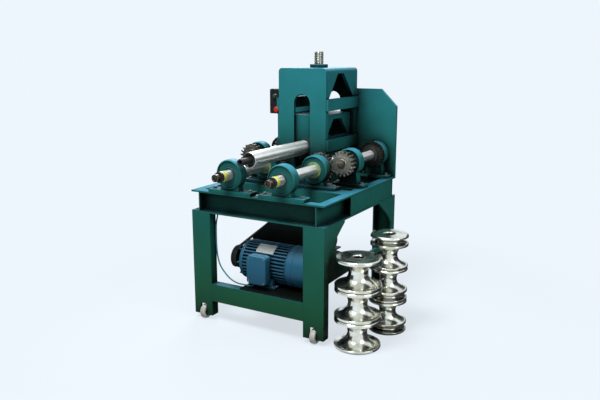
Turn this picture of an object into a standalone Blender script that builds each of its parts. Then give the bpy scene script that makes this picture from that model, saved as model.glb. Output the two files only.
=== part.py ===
"""Electric pipe bending machine with three rollers, and two stacks of spare bending dies.

A welded table of steel channel stands on four legs with small wheels. On it two driven
roller shafts lie side by side, and a press head with a screw lowers a third shaft
between them. A motor under the table drives a worm gearbox by a belt, and two chains
carry the drive up to the countershafts, whose gears turn the roller shafts.

All sizes are in metres. Pieces are laid out from the table's front left corner on the
floor: X to the right along the front, Y to the back, Z up. An empty then moves the
whole machine so that the middle of its outer box, on the floor, is at the origin.
"""

import math

import bmesh
import bpy
from mathutils import Matrix, Vector

# Clearances
SEAT_GAP = 0.0003
RUNNING_GAP = 0.0005
FREE_GAP = 0.004
WELD_BITE = 0.002

# Steel channel
CHANNEL_HEIGHT = 0.120
CHANNEL_FLANGE = 0.053
WEB_THICKNESS = 0.006
FLANGE_THICKNESS = 0.009
PLATE_THICKNESS = 0.006

# Table
TABLE_WIDTH = 0.820
TABLE_DEPTH = 0.926
TABLE_TOP = 0.736
CLOSING_PLATE_START = 0.303
CLOSING_PLATE_END_INSET = 0.056
END_STIFFENER_INSET = 0.003
FRONT_MEMBER_START = 0.300
FRONT_MEMBER_WIDTH = 0.100
REAR_MEMBER_START = 0.455
REAR_MEMBER_WIDTH = 0.090
MEMBER_HEIGHT = 0.060

# Legs and lower rails
LEG_WIDTH = 0.120
LEG_BOTTOM = 0.028
LEG_GUSSET_REACH = 0.231
LEG_GUSSET_TOP = 0.010
LEG_GUSSET_HEIGHT = 0.160
LEG_GUSSET_CURVE = 1.35
FRONT_RAIL_BOTTOM = 0.115
FRONT_RAIL_HEIGHT = 0.100
SIDE_RAIL_BOTTOM = 0.315
SIDE_RAIL_HEIGHT = 0.030
SIDE_RAIL_SHELF = 0.050
KNEE_TOP = 0.530
KNEE_MIDDLE = 0.477
KNEE_HIP = 0.443
KNEE_TOP_REACH = 0.060
KNEE_MIDDLE_REACH = 0.145
KNEE_HIP_REACH = 0.226
KNEE_END = 0.285

# Wheels
WHEEL_RADIUS = 0.040
WHEEL_WIDTH = 0.030
WHEEL_INSET = 0.020
AXLE_RADIUS = 0.006
AXLE_SHOULDER_RADIUS = 0.011
WHEEL_NOTCH_HEIGHT = 0.064

# Rollers and their bearings
ROLLER_HALF_SPAN = 0.159
ROLLER_HEIGHT = 0.104
ROLLER_RADIUS = 0.030
ROLLER_NOSE_RADIUS = 0.0275
ROLLER_STUB_RADIUS = 0.020
ROLLER_STUB_LENGTH = 0.035
ROLLER_REACH = 0.120
BEARING_RADIUS = 0.080
COUNTER_BEARING_RADIUS = 0.075
BEARING_WIDTH = 0.060
BEARING_CHAMFER = 0.007
FOOT_THICKNESS = 0.018
FOOT_DEPTH = 0.070
FRONT_FOOT_LENGTH = 0.270
COUNTER_FOOT_LENGTH = 0.190
FOOT_BOLT_RADIUS = 0.012
FOOT_BOLT_HEIGHT = 0.010
FOOT_BOLT_INSET = 0.022
FRONT_BEARING_START = 0.0
MIDDLE_BEARING_START = 0.345
COUNTER_BEARING_START = 0.490

# Gears
GEAR_MODULE = 0.007
ROLLER_GEAR_TEETH = 23
COUNTER_GEAR_TEETH = 18
GEAR_BACKLASH = 0.06
GEAR_START = 0.412
GEAR_WIDTH = 0.038
COUNTER_HALF_SPAN = 0.298
COUNTER_SHAFT_RADIUS = 0.0275
COUNTER_SHAFT_LEAD = 0.005
COUNTER_COLLAR_RADIUS = 0.048
COUNTER_COLLAR_WIDTH = 0.012
COUNTER_CAP_RADIUS = 0.035
COUNTER_CAP_REACH = 1.080

# Chains
CHAIN_WIDTH = 0.030
CHAIN_THICKNESS = 0.012
LEFT_CHAIN_LEAD = 0.081
RIGHT_CHAIN_LEAD = 0.045
LARGE_SPROCKET_RADIUS = 0.068
LARGE_SPROCKET_TEETH = 24
SMALL_SPROCKET_RADIUS = 0.040
SMALL_SPROCKET_TEETH = 14
SPROCKET_TOOTH_DEPTH = 0.008
SPROCKET_HUB_RADIUS = 0.042

# Press head
HEAD_HALF_WIDTH = 0.1525
HEAD_FRONT = 0.500
BACK_PLATE_INSET = 0.001
HEAD_TOP = 1.382
HEAD_PLATE = 0.020
HEAD_CORNER_RADIUS = 0.020
SLOT_WIDTH = 0.104
SLOT_TOP = 1.239
WINDOW_TOP = 1.361
WINDOW_TOP_WIDTH = 0.077
WINDOW_TOP_LEAD = 0.0165
WINDOW_BOTTOM_MARGIN = 0.030
UPPER_BAR_BOTTOM = 1.148
UPPER_BAR_HEIGHT = 0.063
LOWER_BAR_BOTTOM = 0.920
LOWER_BAR_HEIGHT = 0.064
BAR_RELIEF = 0.015
UPRIGHT_WIDTH = 0.014
BACK_PLATE_THICKNESS = 0.020
BACK_PLATE_TOP = 1.258
BACK_PLATE_CHAMFER = 0.100

# Press carriage, its shaft and its screw
CARRIAGE_BOTTOM = 0.872
CARRIAGE_TOP = 1.121
CARRIAGE_REAR_CLEARANCE = 0.0395
CARRIAGE_WALL = 0.020
CARRIAGE_WINDOW_BOTTOM = 0.995
CARRIAGE_WINDOW_TOP = 1.092
CARRIAGE_WINDOW_TOP_WIDTH = 0.102
CARRIAGE_WINDOW_MARGIN = 0.038
GUIDE_BLOCK_HALF_WIDTH = 0.075
UPPER_SHAFT_HEIGHT = 0.199
UPPER_SHAFT_RADIUS = 0.040
UPPER_SHAFT_FRONT = -0.040
UPPER_SHAFT_RECESS = 0.012
UPPER_SHAFT_RECESS_RADIUS = 0.034
UPPER_STUB_RADIUS = 0.0175
UPPER_STUB_BORE = 0.010
UPPER_STUB_REACH = 0.080
UPPER_SHAFT_TAIL = 0.030
SCREW_RADIUS = 0.0275
SCREW_TOP = 1.474
SCREW_DEPTH_SHARE = 0.5
SCREW_COLLAR_RADIUS = 0.042
SCREW_COLLAR_HEIGHT = 0.014
NUT_FLANGE_RADIUS = 0.0525
NUT_FLANGE_HEIGHT = 0.020
NUT_BODY_RADIUS = 0.042
NUT_BODY_DEPTH = 0.075

# Drive cradle: its apron, gearbox shelf and motor plate
SHELF_THICKNESS = 0.008
SHELF_HEIGHT = 0.321
SHELF_BACK = 0.668
APRON_RIGHT_REACH = 0.280
APRON_CORNER_WIDTH = 0.103
APRON_CORNER_LOW = 0.428
APRON_CORNER_TOP = 0.518
APRON_RIB_HEIGHT = 0.424
APRON_RIB_REACH = 0.004
MOTOR_PLATE_LEFT_REACH = 0.105
STRAP_WIDTH = 0.030
STRAP_INSET = 0.030

# Gearbox
WORM_HEIGHT = 0.385
WORM_DEPTH = 0.575
WHEEL_AXIS_RISE = 0.110
GEARBOX_HALF_LENGTH = 0.175
WORM_HOUSING_RADIUS = 0.046
WHEEL_HOUSING_RADIUS = 0.100
WHEEL_HOUSING_WIDTH = 0.160
GEARBOX_BASE_HEIGHT = 0.030
GEARBOX_BASE_LENGTH = 0.290
GEARBOX_COVER_RADIUS = 0.070
GEARBOX_COVER_DEPTH = 0.008
GEARBOX_SHAFT_RADIUS = 0.014
OUTPUT_SHAFT_RADIUS = 0.018
SHAFT_SOCKET_DEPTH = 0.020

# Belt drive
BELT_REACH = 0.225
BELT_WIDTH = 0.015
BELT_THICKNESS = 0.011
PULLEY_WIDTH = 0.034
PULLEY_LIP = 0.002
PULLEY_FLOOR_GAP = 0.002
MOTOR_PULLEY_RADIUS = 0.063
GEARBOX_PULLEY_RADIUS = 0.100

# Motor
MOTOR_DEPTH = 0.180
MOTOR_HEIGHT = 0.338
MOTOR_START_REACH = 0.185
MOTOR_BELL_LENGTH = 0.040
MOTOR_BELL_RADIUS = 0.109
MOTOR_BELL_NOSE_RADIUS = 0.058
MOTOR_BODY_LENGTH = 0.288
MOTOR_CORE_RADIUS = 0.100
MOTOR_FIN_RADIUS = 0.111
MOTOR_FIN_COUNT = 28
MOTOR_FOOT_WIDTH = 0.040
MOTOR_FOOT_SPREAD = 0.095
MOTOR_FOOT_THICKNESS = 0.012
MOTOR_FOOT_LENGTH = 0.160
FAN_COVER_RADIUS = 0.114
FAN_COVER_LENGTH = 0.135
FAN_COVER_WALL = 0.003
FAN_COVER_ROUNDING = 0.030
FAN_INTAKE_RADIUS = 0.050
TERMINAL_BOX_INSET = 0.113
TERMINAL_BOX_WIDTH = 0.122
TERMINAL_BOX_BOTTOM = 0.252
TERMINAL_BOX_HEIGHT = 0.158
TERMINAL_BOX_FRONT = 0.022
TERMINAL_BOX_ROUNDING = 0.016

# Control box and its buttons
CONTROL_BOX_WIDTH = 0.110
CONTROL_BOX_DEPTH = 0.080
CONTROL_BOX_FRONT = 0.600
CONTROL_BOX_BOTTOM = 1.111
CONTROL_BOX_HEIGHT = 0.147
CONTROL_BOX_ROUNDING = 0.004
BUTTON_STEM_RADIUS = 0.008
BUTTON_SOCKET_DEPTH = 0.022
BUTTON_HEAD_GAP = 0.006
START_BUTTON_RADIUS = 0.012
START_BUTTON_LENGTH = 0.008
START_BUTTON_RISE = 0.104
START_BUTTON_INSET = 0.036
STOP_BUTTON_RADIUS = 0.018
STOP_BUTTON_LENGTH = 0.014
STOP_BUTTON_RISE = 0.026
STOP_BUTTON_INSET = 0.054

# Motor cable
CABLE_DIAMETER = 0.008
CABLE_STEPS = 3
CABLE_CLEARANCE = 0.006
CABLE_BEND = 0.024
CABLE_LEG_START = 0.360

# Spare bending dies
DIE_BORE_RADIUS = 0.028
DIE_RIM_EDGE = 0.006
WIDE_DIE_RADIUS = 0.120
WIDE_DIE_HEIGHT = 0.158
WIDE_DIE_WAIST = 0.050
WIDE_DIE_RIM = 0.018
WIDE_STACK_OFFSET = 0.139
WIDE_STACK_Y = 0.106
TWIN_DIE_RADIUS = 0.101
TWIN_DIE_HEIGHT = 0.1785
TWIN_DIE_WAIST = 0.044
TWIN_DIE_SHALLOW_WAIST = 0.074
TWIN_DIE_RIM = 0.014
TWIN_DIE_SHALLOW_GROOVE = 0.032
TWIN_STACK_OFFSET = 0.190
TWIN_STACK_Y = 0.380
STACK_COUNT = 3

# Facets
ROUND_SIDES = 24
SMALL_SIDES = 12
SHARP_ANGLE = math.radians(32)

# Colour, metallic and roughness of each finish
FINISHES = {
    "green_enamel": ((0.018, 0.150, 0.105), 0.0, 0.38),
    "ground_steel": ((0.62, 0.62, 0.58), 1.0, 0.22),
    "blackened_steel": ((0.018, 0.018, 0.020), 0.7, 0.45),
    "black_rubber": ((0.015, 0.015, 0.015), 0.0, 0.80),
    "blue_enamel": ((0.018, 0.095, 0.200), 0.0, 0.34),
    "grey_enamel": ((0.050, 0.060, 0.060), 0.0, 0.45),
    "cream_tyre": ((0.560, 0.540, 0.460), 0.0, 0.65),
    "polished_steel": ((0.68, 0.68, 0.62), 1.0, 0.14),
    "black_plastic": ((0.020, 0.020, 0.022), 0.0, 0.40),
    "red_plastic": ((0.550, 0.020, 0.015), 0.0, 0.35),
    "green_plastic": ((0.020, 0.300, 0.060), 0.0, 0.35),
    "cable_sheath": ((0.030, 0.260, 0.300), 0.0, 0.55),
}

# Places that follow from the sizes above
MIDDLE_X = TABLE_WIDTH / 2
HEAD_BACK = TABLE_DEPTH - BACK_PLATE_INSET - BACK_PLATE_THICKNESS
REAR_BEARING_START = HEAD_BACK - BEARING_WIDTH
LEFT_CHAIN_START = REAR_BEARING_START - LEFT_CHAIN_LEAD
RIGHT_CHAIN_START = REAR_BEARING_START - RIGHT_CHAIN_LEAD
CARRIAGE_DEPTH = HEAD_BACK - HEAD_FRONT - HEAD_PLATE - RUNNING_GAP - CARRIAGE_REAR_CLEARANCE
BELT_MIDDLE = MIDDLE_X - BELT_REACH
APRON_RIGHT = MIDDLE_X + APRON_RIGHT_REACH
MOTOR_PLATE_LEFT = MIDDLE_X - MOTOR_PLATE_LEFT_REACH
MOTOR_START = MIDDLE_X - MOTOR_START_REACH
TERMINAL_BOX_START = MOTOR_START + TERMINAL_BOX_INSET
WIDE_STACK_X = TABLE_WIDTH + WIDE_STACK_OFFSET
TWIN_STACK_X = TABLE_WIDTH + TWIN_STACK_OFFSET
TABLE_BOTTOM = TABLE_TOP - CHANNEL_HEIGHT
LEG_TOP = TABLE_BOTTOM - SEAT_GAP
SEAT_TOP = TABLE_TOP + SEAT_GAP
ROLLER_AXIS = TABLE_TOP + ROLLER_HEIGHT
UPPER_AXIS = TABLE_TOP + UPPER_SHAFT_HEIGHT
GEAR_DISTANCE = GEAR_MODULE * (ROLLER_GEAR_TEETH + COUNTER_GEAR_TEETH) / 2
GEAR_LINE_RUN = COUNTER_HALF_SPAN - ROLLER_HALF_SPAN
GEAR_LINE_RISE = math.sqrt(GEAR_DISTANCE ** 2 - GEAR_LINE_RUN ** 2)
GEAR_LINE_ANGLE = math.atan2(GEAR_LINE_RISE, GEAR_LINE_RUN)
COUNTER_AXIS = ROLLER_AXIS + GEAR_LINE_RISE
BACK_PLATE_BACK = HEAD_BACK + BACK_PLATE_THICKNESS
SIDE_OUTER = HEAD_HALF_WIDTH
SIDE_INNER = HEAD_HALF_WIDTH - HEAD_PLATE
BACK_PLATE_LIMIT = HEAD_BACK - SEAT_GAP
SCREW_Y = (HEAD_FRONT + HEAD_BACK) / 2
WINDOW_TOP_MIDDLE = SCREW_Y - WINDOW_TOP_LEAD
APRON_FRONT = FRONT_MEMBER_START
APRON_BACK = APRON_FRONT + SHELF_THICKNESS
MEMBER_BOTTOM = TABLE_TOP - MEMBER_HEIGHT
SHELF_TOP = SHELF_HEIGHT + SHELF_THICKNESS
MOTOR_PLATE_BOTTOM = FRONT_RAIL_BOTTOM + FRONT_RAIL_HEIGHT + SEAT_GAP
MOTOR_PLATE_TOP = MOTOR_PLATE_BOTTOM + SHELF_THICKNESS
OUTPUT_AXIS = WORM_HEIGHT + WHEEL_AXIS_RISE
MOTOR_BODY_START = MOTOR_START + MOTOR_BELL_LENGTH
MOTOR_BODY_END = MOTOR_BODY_START + MOTOR_BODY_LENGTH
FRONT_REACH = -ROLLER_REACH
FACET_REACH = math.cos(math.pi / ROUND_SIDES)
RIGHT_REACH = max(WIDE_STACK_X + WIDE_DIE_RADIUS * FACET_REACH,
                  TWIN_STACK_X + TWIN_DIE_RADIUS * FACET_REACH)
MACHINE_MIDDLE = (RIGHT_REACH / 2, (FRONT_REACH + COUNTER_CAP_REACH) / 2, 0.0)


def in_place(first, second, along, axis):
    """Turn two coordinates across an axis, and the one along it, into x, y and z."""
    if axis == "X":
        return (along, first, second)
    if axis == "Y":
        return (first, along, second)
    return (first, second, along)


def new_mesh(corners, faces):
    """Make a closed mesh from its corners and faces, with the faces turned outwards."""
    mesh = bpy.data.meshes.new("shape")
    mesh.from_pydata(corners, [], faces)
    shape = bmesh.new()
    shape.from_mesh(mesh)
    bmesh.ops.recalc_face_normals(shape, faces=shape.faces)
    shape.to_mesh(mesh)
    shape.free()
    return mesh


def prism(outline, axis, low, high):
    """Carry a flat outline along an axis from low to high."""
    count = len(outline)
    corners = [in_place(a, b, low, axis) for a, b in outline]
    corners += [in_place(a, b, high, axis) for a, b in outline]
    faces = [list(range(count)), list(range(2 * count - 1, count - 1, -1))]
    for here in range(count):
        following = (here + 1) % count
        faces.append([here, following, following + count, here + count])
    return new_mesh(corners, faces)


def box(x_range, y_range, z_range):
    """Make a block between two corners."""
    outline = [(x_range[0], y_range[0]), (x_range[1], y_range[0]),
               (x_range[1], y_range[1]), (x_range[0], y_range[1])]
    return prism(outline, "Z", z_range[0], z_range[1])


def ring_prism(outer, inner, axis, low, high):
    """Carry a ring between two outlines of as many points along an axis."""
    count = len(outer)
    corners = []
    for outline, along in ((outer, low), (inner, low), (inner, high), (outer, high)):
        corners += [in_place(a, b, along, axis) for a, b in outline]
    faces = []
    for side in range(4):
        start = side * count
        end = ((side + 1) % 4) * count
        for here in range(count):
            following = (here + 1) % count
            faces.append([start + here, start + following, end + following, end + here])
    return new_mesh(corners, faces)


def turned(profile, axis, centre, sides=ROUND_SIDES):
    """Turn a profile of (radius, place along the axis) about an axis.

    The profile either starts and ends on the axis, or is a closed loop round a bore.
    """
    on_axis = profile[0][0] == 0
    rows = profile[1:-1] if on_axis else profile
    corners = []
    for radius, along in rows:
        for step in range(sides):
            angle = 2 * math.pi * (step + 0.5) / sides
            across = centre[0] + radius * math.cos(angle)
            upward = centre[1] + radius * math.sin(angle)
            corners.append(in_place(across, upward, along, axis))
    faces = []
    row_pairs = len(rows) - 1 if on_axis else len(rows)
    for row in range(row_pairs):
        start = row * sides
        end = ((row + 1) % len(rows)) * sides
        for step in range(sides):
            following = (step + 1) % sides
            faces.append([start + step, start + following, end + following, end + step])
    if on_axis:
        for row, tip in ((0, profile[0]), (len(rows) - 1, profile[-1])):
            faces.append([row * sides + step for step in range(sides)])
            if tip[1] != rows[row][1]:
                raise ValueError("a turned end has to be flat")
    return new_mesh(corners, faces)


def bore_radius(radius, gap=SEAT_GAP):
    """Give the radius of a faceted bore that a round piece of this radius turns in."""
    return (radius + gap) / FACET_REACH


def rod(axis, centre, radius, low, high, sides=ROUND_SIDES):
    """Make a plain round bar."""
    return turned([(0, low), (radius, low), (radius, high), (0, high)], axis, centre, sides)


def stepped_rod(axis, centre, steps, sides=ROUND_SIDES):
    """Make a round bar from steps of (radius, start, end) in order along the axis."""
    profile = [(0, steps[0][1])]
    for radius, start, end in steps:
        profile += [(radius, start), (radius, end)]
    profile.append((0, steps[-1][2]))
    return turned(profile, axis, centre, sides)


def arc(centre, radii, start, end, steps):
    """List points along a part of an ellipse, with the angles in degrees."""
    points = []
    for step in range(steps + 1):
        angle = math.radians(start + (end - start) * step / steps)
        across = centre[0] + radii[0] * math.cos(angle)
        points.append((across, centre[1] + radii[1] * math.sin(angle)))
    return points


def mirrored(outline, middle):
    """Mirror an outline about a line of constant first coordinate."""
    return [(2 * middle - a, b) for a, b in reversed(outline)]


def mirrored_mesh(mesh, middle):
    """Mirror a mesh to the other side of the plane X = middle, and take the place of it."""
    mesh.transform(Matrix.Translation((2 * middle, 0, 0)) @ Matrix.Scale(-1, 4, (1, 0, 0)))
    mesh.flip_normals()
    return mesh


def combined(base, tools, operation):
    """Join tools to a base, or cut them from it, and give the resulting mesh."""
    base_object = bpy.data.objects.new("base", base)
    bpy.context.scene.collection.objects.link(base_object)
    tool_objects = []
    for tool in tools:
        tool_object = bpy.data.objects.new("tool", tool)
        bpy.context.scene.collection.objects.link(tool_object)
        modifier = base_object.modifiers.new("combine", "BOOLEAN")
        modifier.operation = operation
        modifier.solver = "EXACT"
        modifier.object = tool_object
        tool_objects.append(tool_object)
    depsgraph = bpy.context.evaluated_depsgraph_get()
    result = bpy.data.meshes.new_from_object(base_object.evaluated_get(depsgraph))
    for temporary in [base_object] + tool_objects:
        bpy.data.objects.remove(temporary)
    return result


def joined(base, *tools):
    """Weld solids that overlap into one."""
    return combined(base, tools, "UNION")


def cut(base, *tools):
    """Cut solids out of a base."""
    return combined(base, tools, "DIFFERENCE")


def finish_material(name):
    """Give the material of one finish, made on its first use."""
    material = bpy.data.materials.get(name)
    if material is None:
        colour, metallic, roughness = FINISHES[name]
        material = bpy.data.materials.new(name)
        material.use_nodes = True
        shader = material.node_tree.nodes["Principled BSDF"]
        shader.inputs["Base Color"].default_value = (*colour, 1.0)
        shader.inputs["Metallic"].default_value = metallic
        shader.inputs["Roughness"].default_value = roughness
    return material


def add_part(name, mesh, finish, machine, origin=(0.0, 0.0, 0.0)):
    """Place one finished piece under the machine, with its own origin."""
    mesh.name = name
    mesh.transform(Matrix.Translation(-Vector(origin)))
    mesh.shade_smooth()
    mesh.set_sharp_from_angle(angle=SHARP_ANGLE)
    mesh.materials.clear()
    mesh.materials.append(finish_material(finish))
    part = bpy.data.objects.new(name, mesh)
    part.parent = machine
    part.location = origin
    bpy.context.scene.collection.objects.link(part)
    return part


def channel_outline(web_at, reach, bottom, height):
    """Outline of a channel across its length: the web's outer side, and its flanges' reach."""
    side = math.copysign(1, reach)
    inner = web_at + side * WEB_THICKNESS
    tip = web_at + reach
    top = bottom + height
    return [(web_at, bottom), (tip, bottom), (tip, bottom + FLANGE_THICKNESS),
            (inner, bottom + FLANGE_THICKNESS), (inner, top - FLANGE_THICKNESS),
            (tip, top - FLANGE_THICKNESS), (tip, top), (web_at, top)]


def add_table(machine):
    """Build the ring of four channels with outward flanges, and the two cross members."""
    finish = "green_enamel"
    web_back = CHANNEL_FLANGE
    outline = channel_outline(web_back, -CHANNEL_FLANGE, TABLE_BOTTOM, CHANNEL_HEIGHT)
    closing_range = (TABLE_BOTTOM + FLANGE_THICKNESS - WELD_BITE,
                     TABLE_TOP - FLANGE_THICKNESS + WELD_BITE)
    web_start = CHANNEL_FLANGE - WEB_THICKNESS
    stiffeners = [box((left, left + WEB_THICKNESS), (END_STIFFENER_INSET, web_start + WELD_BITE),
                      closing_range)
                  for left in (web_start, TABLE_WIDTH - CHANNEL_FLANGE)]
    corners = [box(ends, (web_start - WELD_BITE, CHANNEL_FLANGE + WELD_BITE),
                   (TABLE_BOTTOM + FLANGE_THICKNESS, TABLE_TOP - FLANGE_THICKNESS))
               for ends in ((-WELD_BITE, web_start),
                            (TABLE_WIDTH - web_start, TABLE_WIDTH + WELD_BITE))]
    front = joined(cut(prism(outline, "X", 0, TABLE_WIDTH), *corners), *stiffeners)
    add_part("table_front_channel", front, finish, machine)
    rear = prism(mirrored(outline, TABLE_DEPTH / 2), "X", 0, TABLE_WIDTH)
    add_part("table_rear_channel", rear, finish, machine)

    start = CHANNEL_FLANGE + SEAT_GAP
    end = TABLE_DEPTH - CHANNEL_FLANGE - SEAT_GAP
    closing_plate = (CLOSING_PLATE_START, TABLE_DEPTH - CLOSING_PLATE_END_INSET)
    for side in ("left", "right"):
        plate = box((WELD_BITE, PLATE_THICKNESS), closing_plate, closing_range)
        channel = joined(prism(outline, "Y", start, end), plate)
        if side == "right":
            mirrored_mesh(channel, MIDDLE_X)
        add_part(f"table_{side}_channel", channel, finish, machine)

    inner = CHANNEL_FLANGE + SEAT_GAP
    for name, depth, width in (("cross_member_front", FRONT_MEMBER_START, FRONT_MEMBER_WIDTH),
                               ("cross_member_rear", REAR_MEMBER_START, REAR_MEMBER_WIDTH)):
        low = MEMBER_BOTTOM
        under = TABLE_TOP - FLANGE_THICKNESS
        section = [(depth, low), (depth + WEB_THICKNESS, low), (depth + WEB_THICKNESS, under),
                   (depth + width - WEB_THICKNESS, under), (depth + width - WEB_THICKNESS, low),
                   (depth + width, low), (depth + width, TABLE_TOP), (depth, TABLE_TOP)]
        member = prism(section, "X", inner, TABLE_WIDTH - inner)
        add_part(name, member, finish, machine)


def leg_gusset_outline():
    """Outline in Y and Z of the curved gusset that widens a front leg's outer flange."""
    foot = LEG_TOP - LEG_GUSSET_HEIGHT
    curve_top = LEG_TOP - LEG_GUSSET_TOP
    flange_edge = CHANNEL_FLANGE - WELD_BITE
    outline = [(flange_edge, foot), (flange_edge, LEG_TOP), (LEG_GUSSET_REACH, LEG_TOP)]
    steps = 8
    for step in range(steps, 0, -1):
        share = step / steps
        across = CHANNEL_FLANGE + (LEG_GUSSET_REACH - CHANNEL_FLANGE) * share ** LEG_GUSSET_CURVE
        outline.append((across, foot + (curve_top - foot) * share))
    return outline


def front_left_leg():
    """Build the front left leg: a channel with its gusset, wheel notch and axle."""
    section = [(0, 0), (LEG_WIDTH, 0), (LEG_WIDTH, CHANNEL_FLANGE),
               (LEG_WIDTH - FLANGE_THICKNESS, CHANNEL_FLANGE),
               (LEG_WIDTH - FLANGE_THICKNESS, WEB_THICKNESS), (FLANGE_THICKNESS, WEB_THICKNESS),
               (FLANGE_THICKNESS, CHANNEL_FLANGE), (0, CHANNEL_FLANGE)]
    leg = prism(section, "Z", LEG_BOTTOM, LEG_TOP)
    wheel_middle = LEG_WIDTH / 2
    notch_half = WHEEL_WIDTH / 2 + FREE_GAP
    notch = box((wheel_middle - notch_half, wheel_middle + notch_half),
                (-WELD_BITE, WEB_THICKNESS + WELD_BITE),
                (LEG_BOTTOM - WELD_BITE, LEG_BOTTOM + WHEEL_NOTCH_HEIGHT))
    leg = cut(leg, notch)
    gusset = prism(leg_gusset_outline(), "X", 0, FLANGE_THICKNESS)
    shoulder = WHEEL_WIDTH / 2 + RUNNING_GAP
    inside = FLANGE_THICKNESS - WELD_BITE
    axle = stepped_rod("X", (WHEEL_INSET, WHEEL_RADIUS), [
        (AXLE_SHOULDER_RADIUS, inside, wheel_middle - shoulder),
        (AXLE_RADIUS, wheel_middle - shoulder, wheel_middle + shoulder),
        (AXLE_SHOULDER_RADIUS, wheel_middle + shoulder, LEG_WIDTH - inside)], SMALL_SIDES)
    return joined(leg, gusset, axle)


def add_legs(machine):
    """Build the four legs and set the wheels in their feet."""
    for side in ("left", "right"):
        for end in ("front", "rear"):
            leg = front_left_leg()
            if side == "right":
                mirrored_mesh(leg, MIDDLE_X)
            if end == "rear":
                leg.transform(Matrix.Translation((0, TABLE_DEPTH, 0))
                              @ Matrix.Scale(-1, 4, (0, 1, 0)))
                leg.flip_normals()
            add_part(f"leg_{end}_{side}", leg, "green_enamel", machine)

            across = LEG_WIDTH / 2 if side == "left" else TABLE_WIDTH - LEG_WIDTH / 2
            depth = WHEEL_INSET if end == "front" else TABLE_DEPTH - WHEEL_INSET
            add_wheel(f"wheel_{end}_{side}", (across, depth, WHEEL_RADIUS), machine)


def add_wheel(name, hub, machine):
    """Build one wheel about its axle, with a facet of its tread flat on the floor."""
    tread = WHEEL_RADIUS / math.cos(math.pi / ROUND_SIDES)
    half = WHEEL_WIDTH / 2
    chamfer = 0.12 * WHEEL_RADIUS
    bore = bore_radius(AXLE_RADIUS)
    right_side = [(bore, half), (tread - chamfer, half), (tread, half - chamfer)]
    left_side = [(radius, -along) for radius, along in reversed(right_side)]
    profile = [(radius, hub[0] + along) for radius, along in right_side + left_side]
    wheel = turned(profile, "X", (hub[1], hub[2]))
    add_part(name, wheel, "cream_tyre", machine, hub)


def add_lower_rails(machine):
    """Build the front rail between the legs, and the right side's rail with its knee plate."""
    outline = channel_outline(0, CHANNEL_FLANGE, FRONT_RAIL_BOTTOM, FRONT_RAIL_HEIGHT)
    front = prism(outline, "X", LEG_WIDTH + SEAT_GAP, TABLE_WIDTH - LEG_WIDTH - SEAT_GAP)
    add_part("lower_front_rail", front, "green_enamel", machine)

    low = SIDE_RAIL_BOTTOM
    top = low + SIDE_RAIL_HEIGHT
    outer = FLANGE_THICKNESS + SEAT_GAP
    inner = outer + PLATE_THICKNESS
    start = WEB_THICKNESS + SEAT_GAP
    end = TABLE_DEPTH - start
    behind_leg = CHANNEL_FLANGE + SEAT_GAP
    web_outline = [(start, low), (end, low), (end, top), (KNEE_END, top),
                   (KNEE_HIP_REACH, KNEE_HIP), (KNEE_MIDDLE_REACH, KNEE_MIDDLE),
                   (KNEE_TOP_REACH, KNEE_TOP), (start, KNEE_TOP)]
    web = prism(web_outline, "X", outer, inner)
    shelf = box((inner - WELD_BITE, outer + SIDE_RAIL_SHELF),
                (behind_leg, TABLE_DEPTH - behind_leg), (low, low + PLATE_THICKNESS))
    rail = mirrored_mesh(joined(web, shelf), MIDDLE_X)
    add_part("lower_right_rail", rail, "green_enamel", machine)


def pillow_block(axis_x, axis_z, start, radius, foot_length, bore):
    """Build a disc-shaped bearing on a foot plate with two bolts."""
    end = start + BEARING_WIDTH
    edge = radius - BEARING_CHAMFER
    disc = turned([(bore, start), (edge, start), (radius, start + BEARING_CHAMFER),
                   (radius, end - BEARING_CHAMFER), (edge, end), (bore, end)],
                  "Y", (axis_x, axis_z))
    foot_start = start + (BEARING_WIDTH - FOOT_DEPTH) / 2
    foot_start = min(max(foot_start, FRONT_BEARING_START), BACK_PLATE_LIMIT - FOOT_DEPTH)
    foot_top = SEAT_TOP + FOOT_THICKNESS
    half = foot_length / 2
    foot = box((axis_x - half, axis_x + half), (foot_start, foot_start + FOOT_DEPTH),
               (SEAT_TOP, foot_top))
    neck_half = 0.75 * radius
    neck_top = axis_z - 0.55 * radius
    neck = prism([(axis_x - neck_half, foot_top - WELD_BITE),
                  (axis_x + neck_half, foot_top - WELD_BITE),
                  (axis_x + 0.8 * neck_half, neck_top), (axis_x - 0.8 * neck_half, neck_top)],
                 "Y", start + BEARING_CHAMFER, end - BEARING_CHAMFER)
    bolts = []
    for side in (-1, 1):
        place = (axis_x + side * (half - FOOT_BOLT_INSET), foot_start + FOOT_DEPTH / 2)
        bolts.append(rod("Z", place, FOOT_BOLT_RADIUS, foot_top - WELD_BITE,
                         foot_top + FOOT_BOLT_HEIGHT, 6))
    return joined(disc, neck, foot, *bolts)


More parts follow.
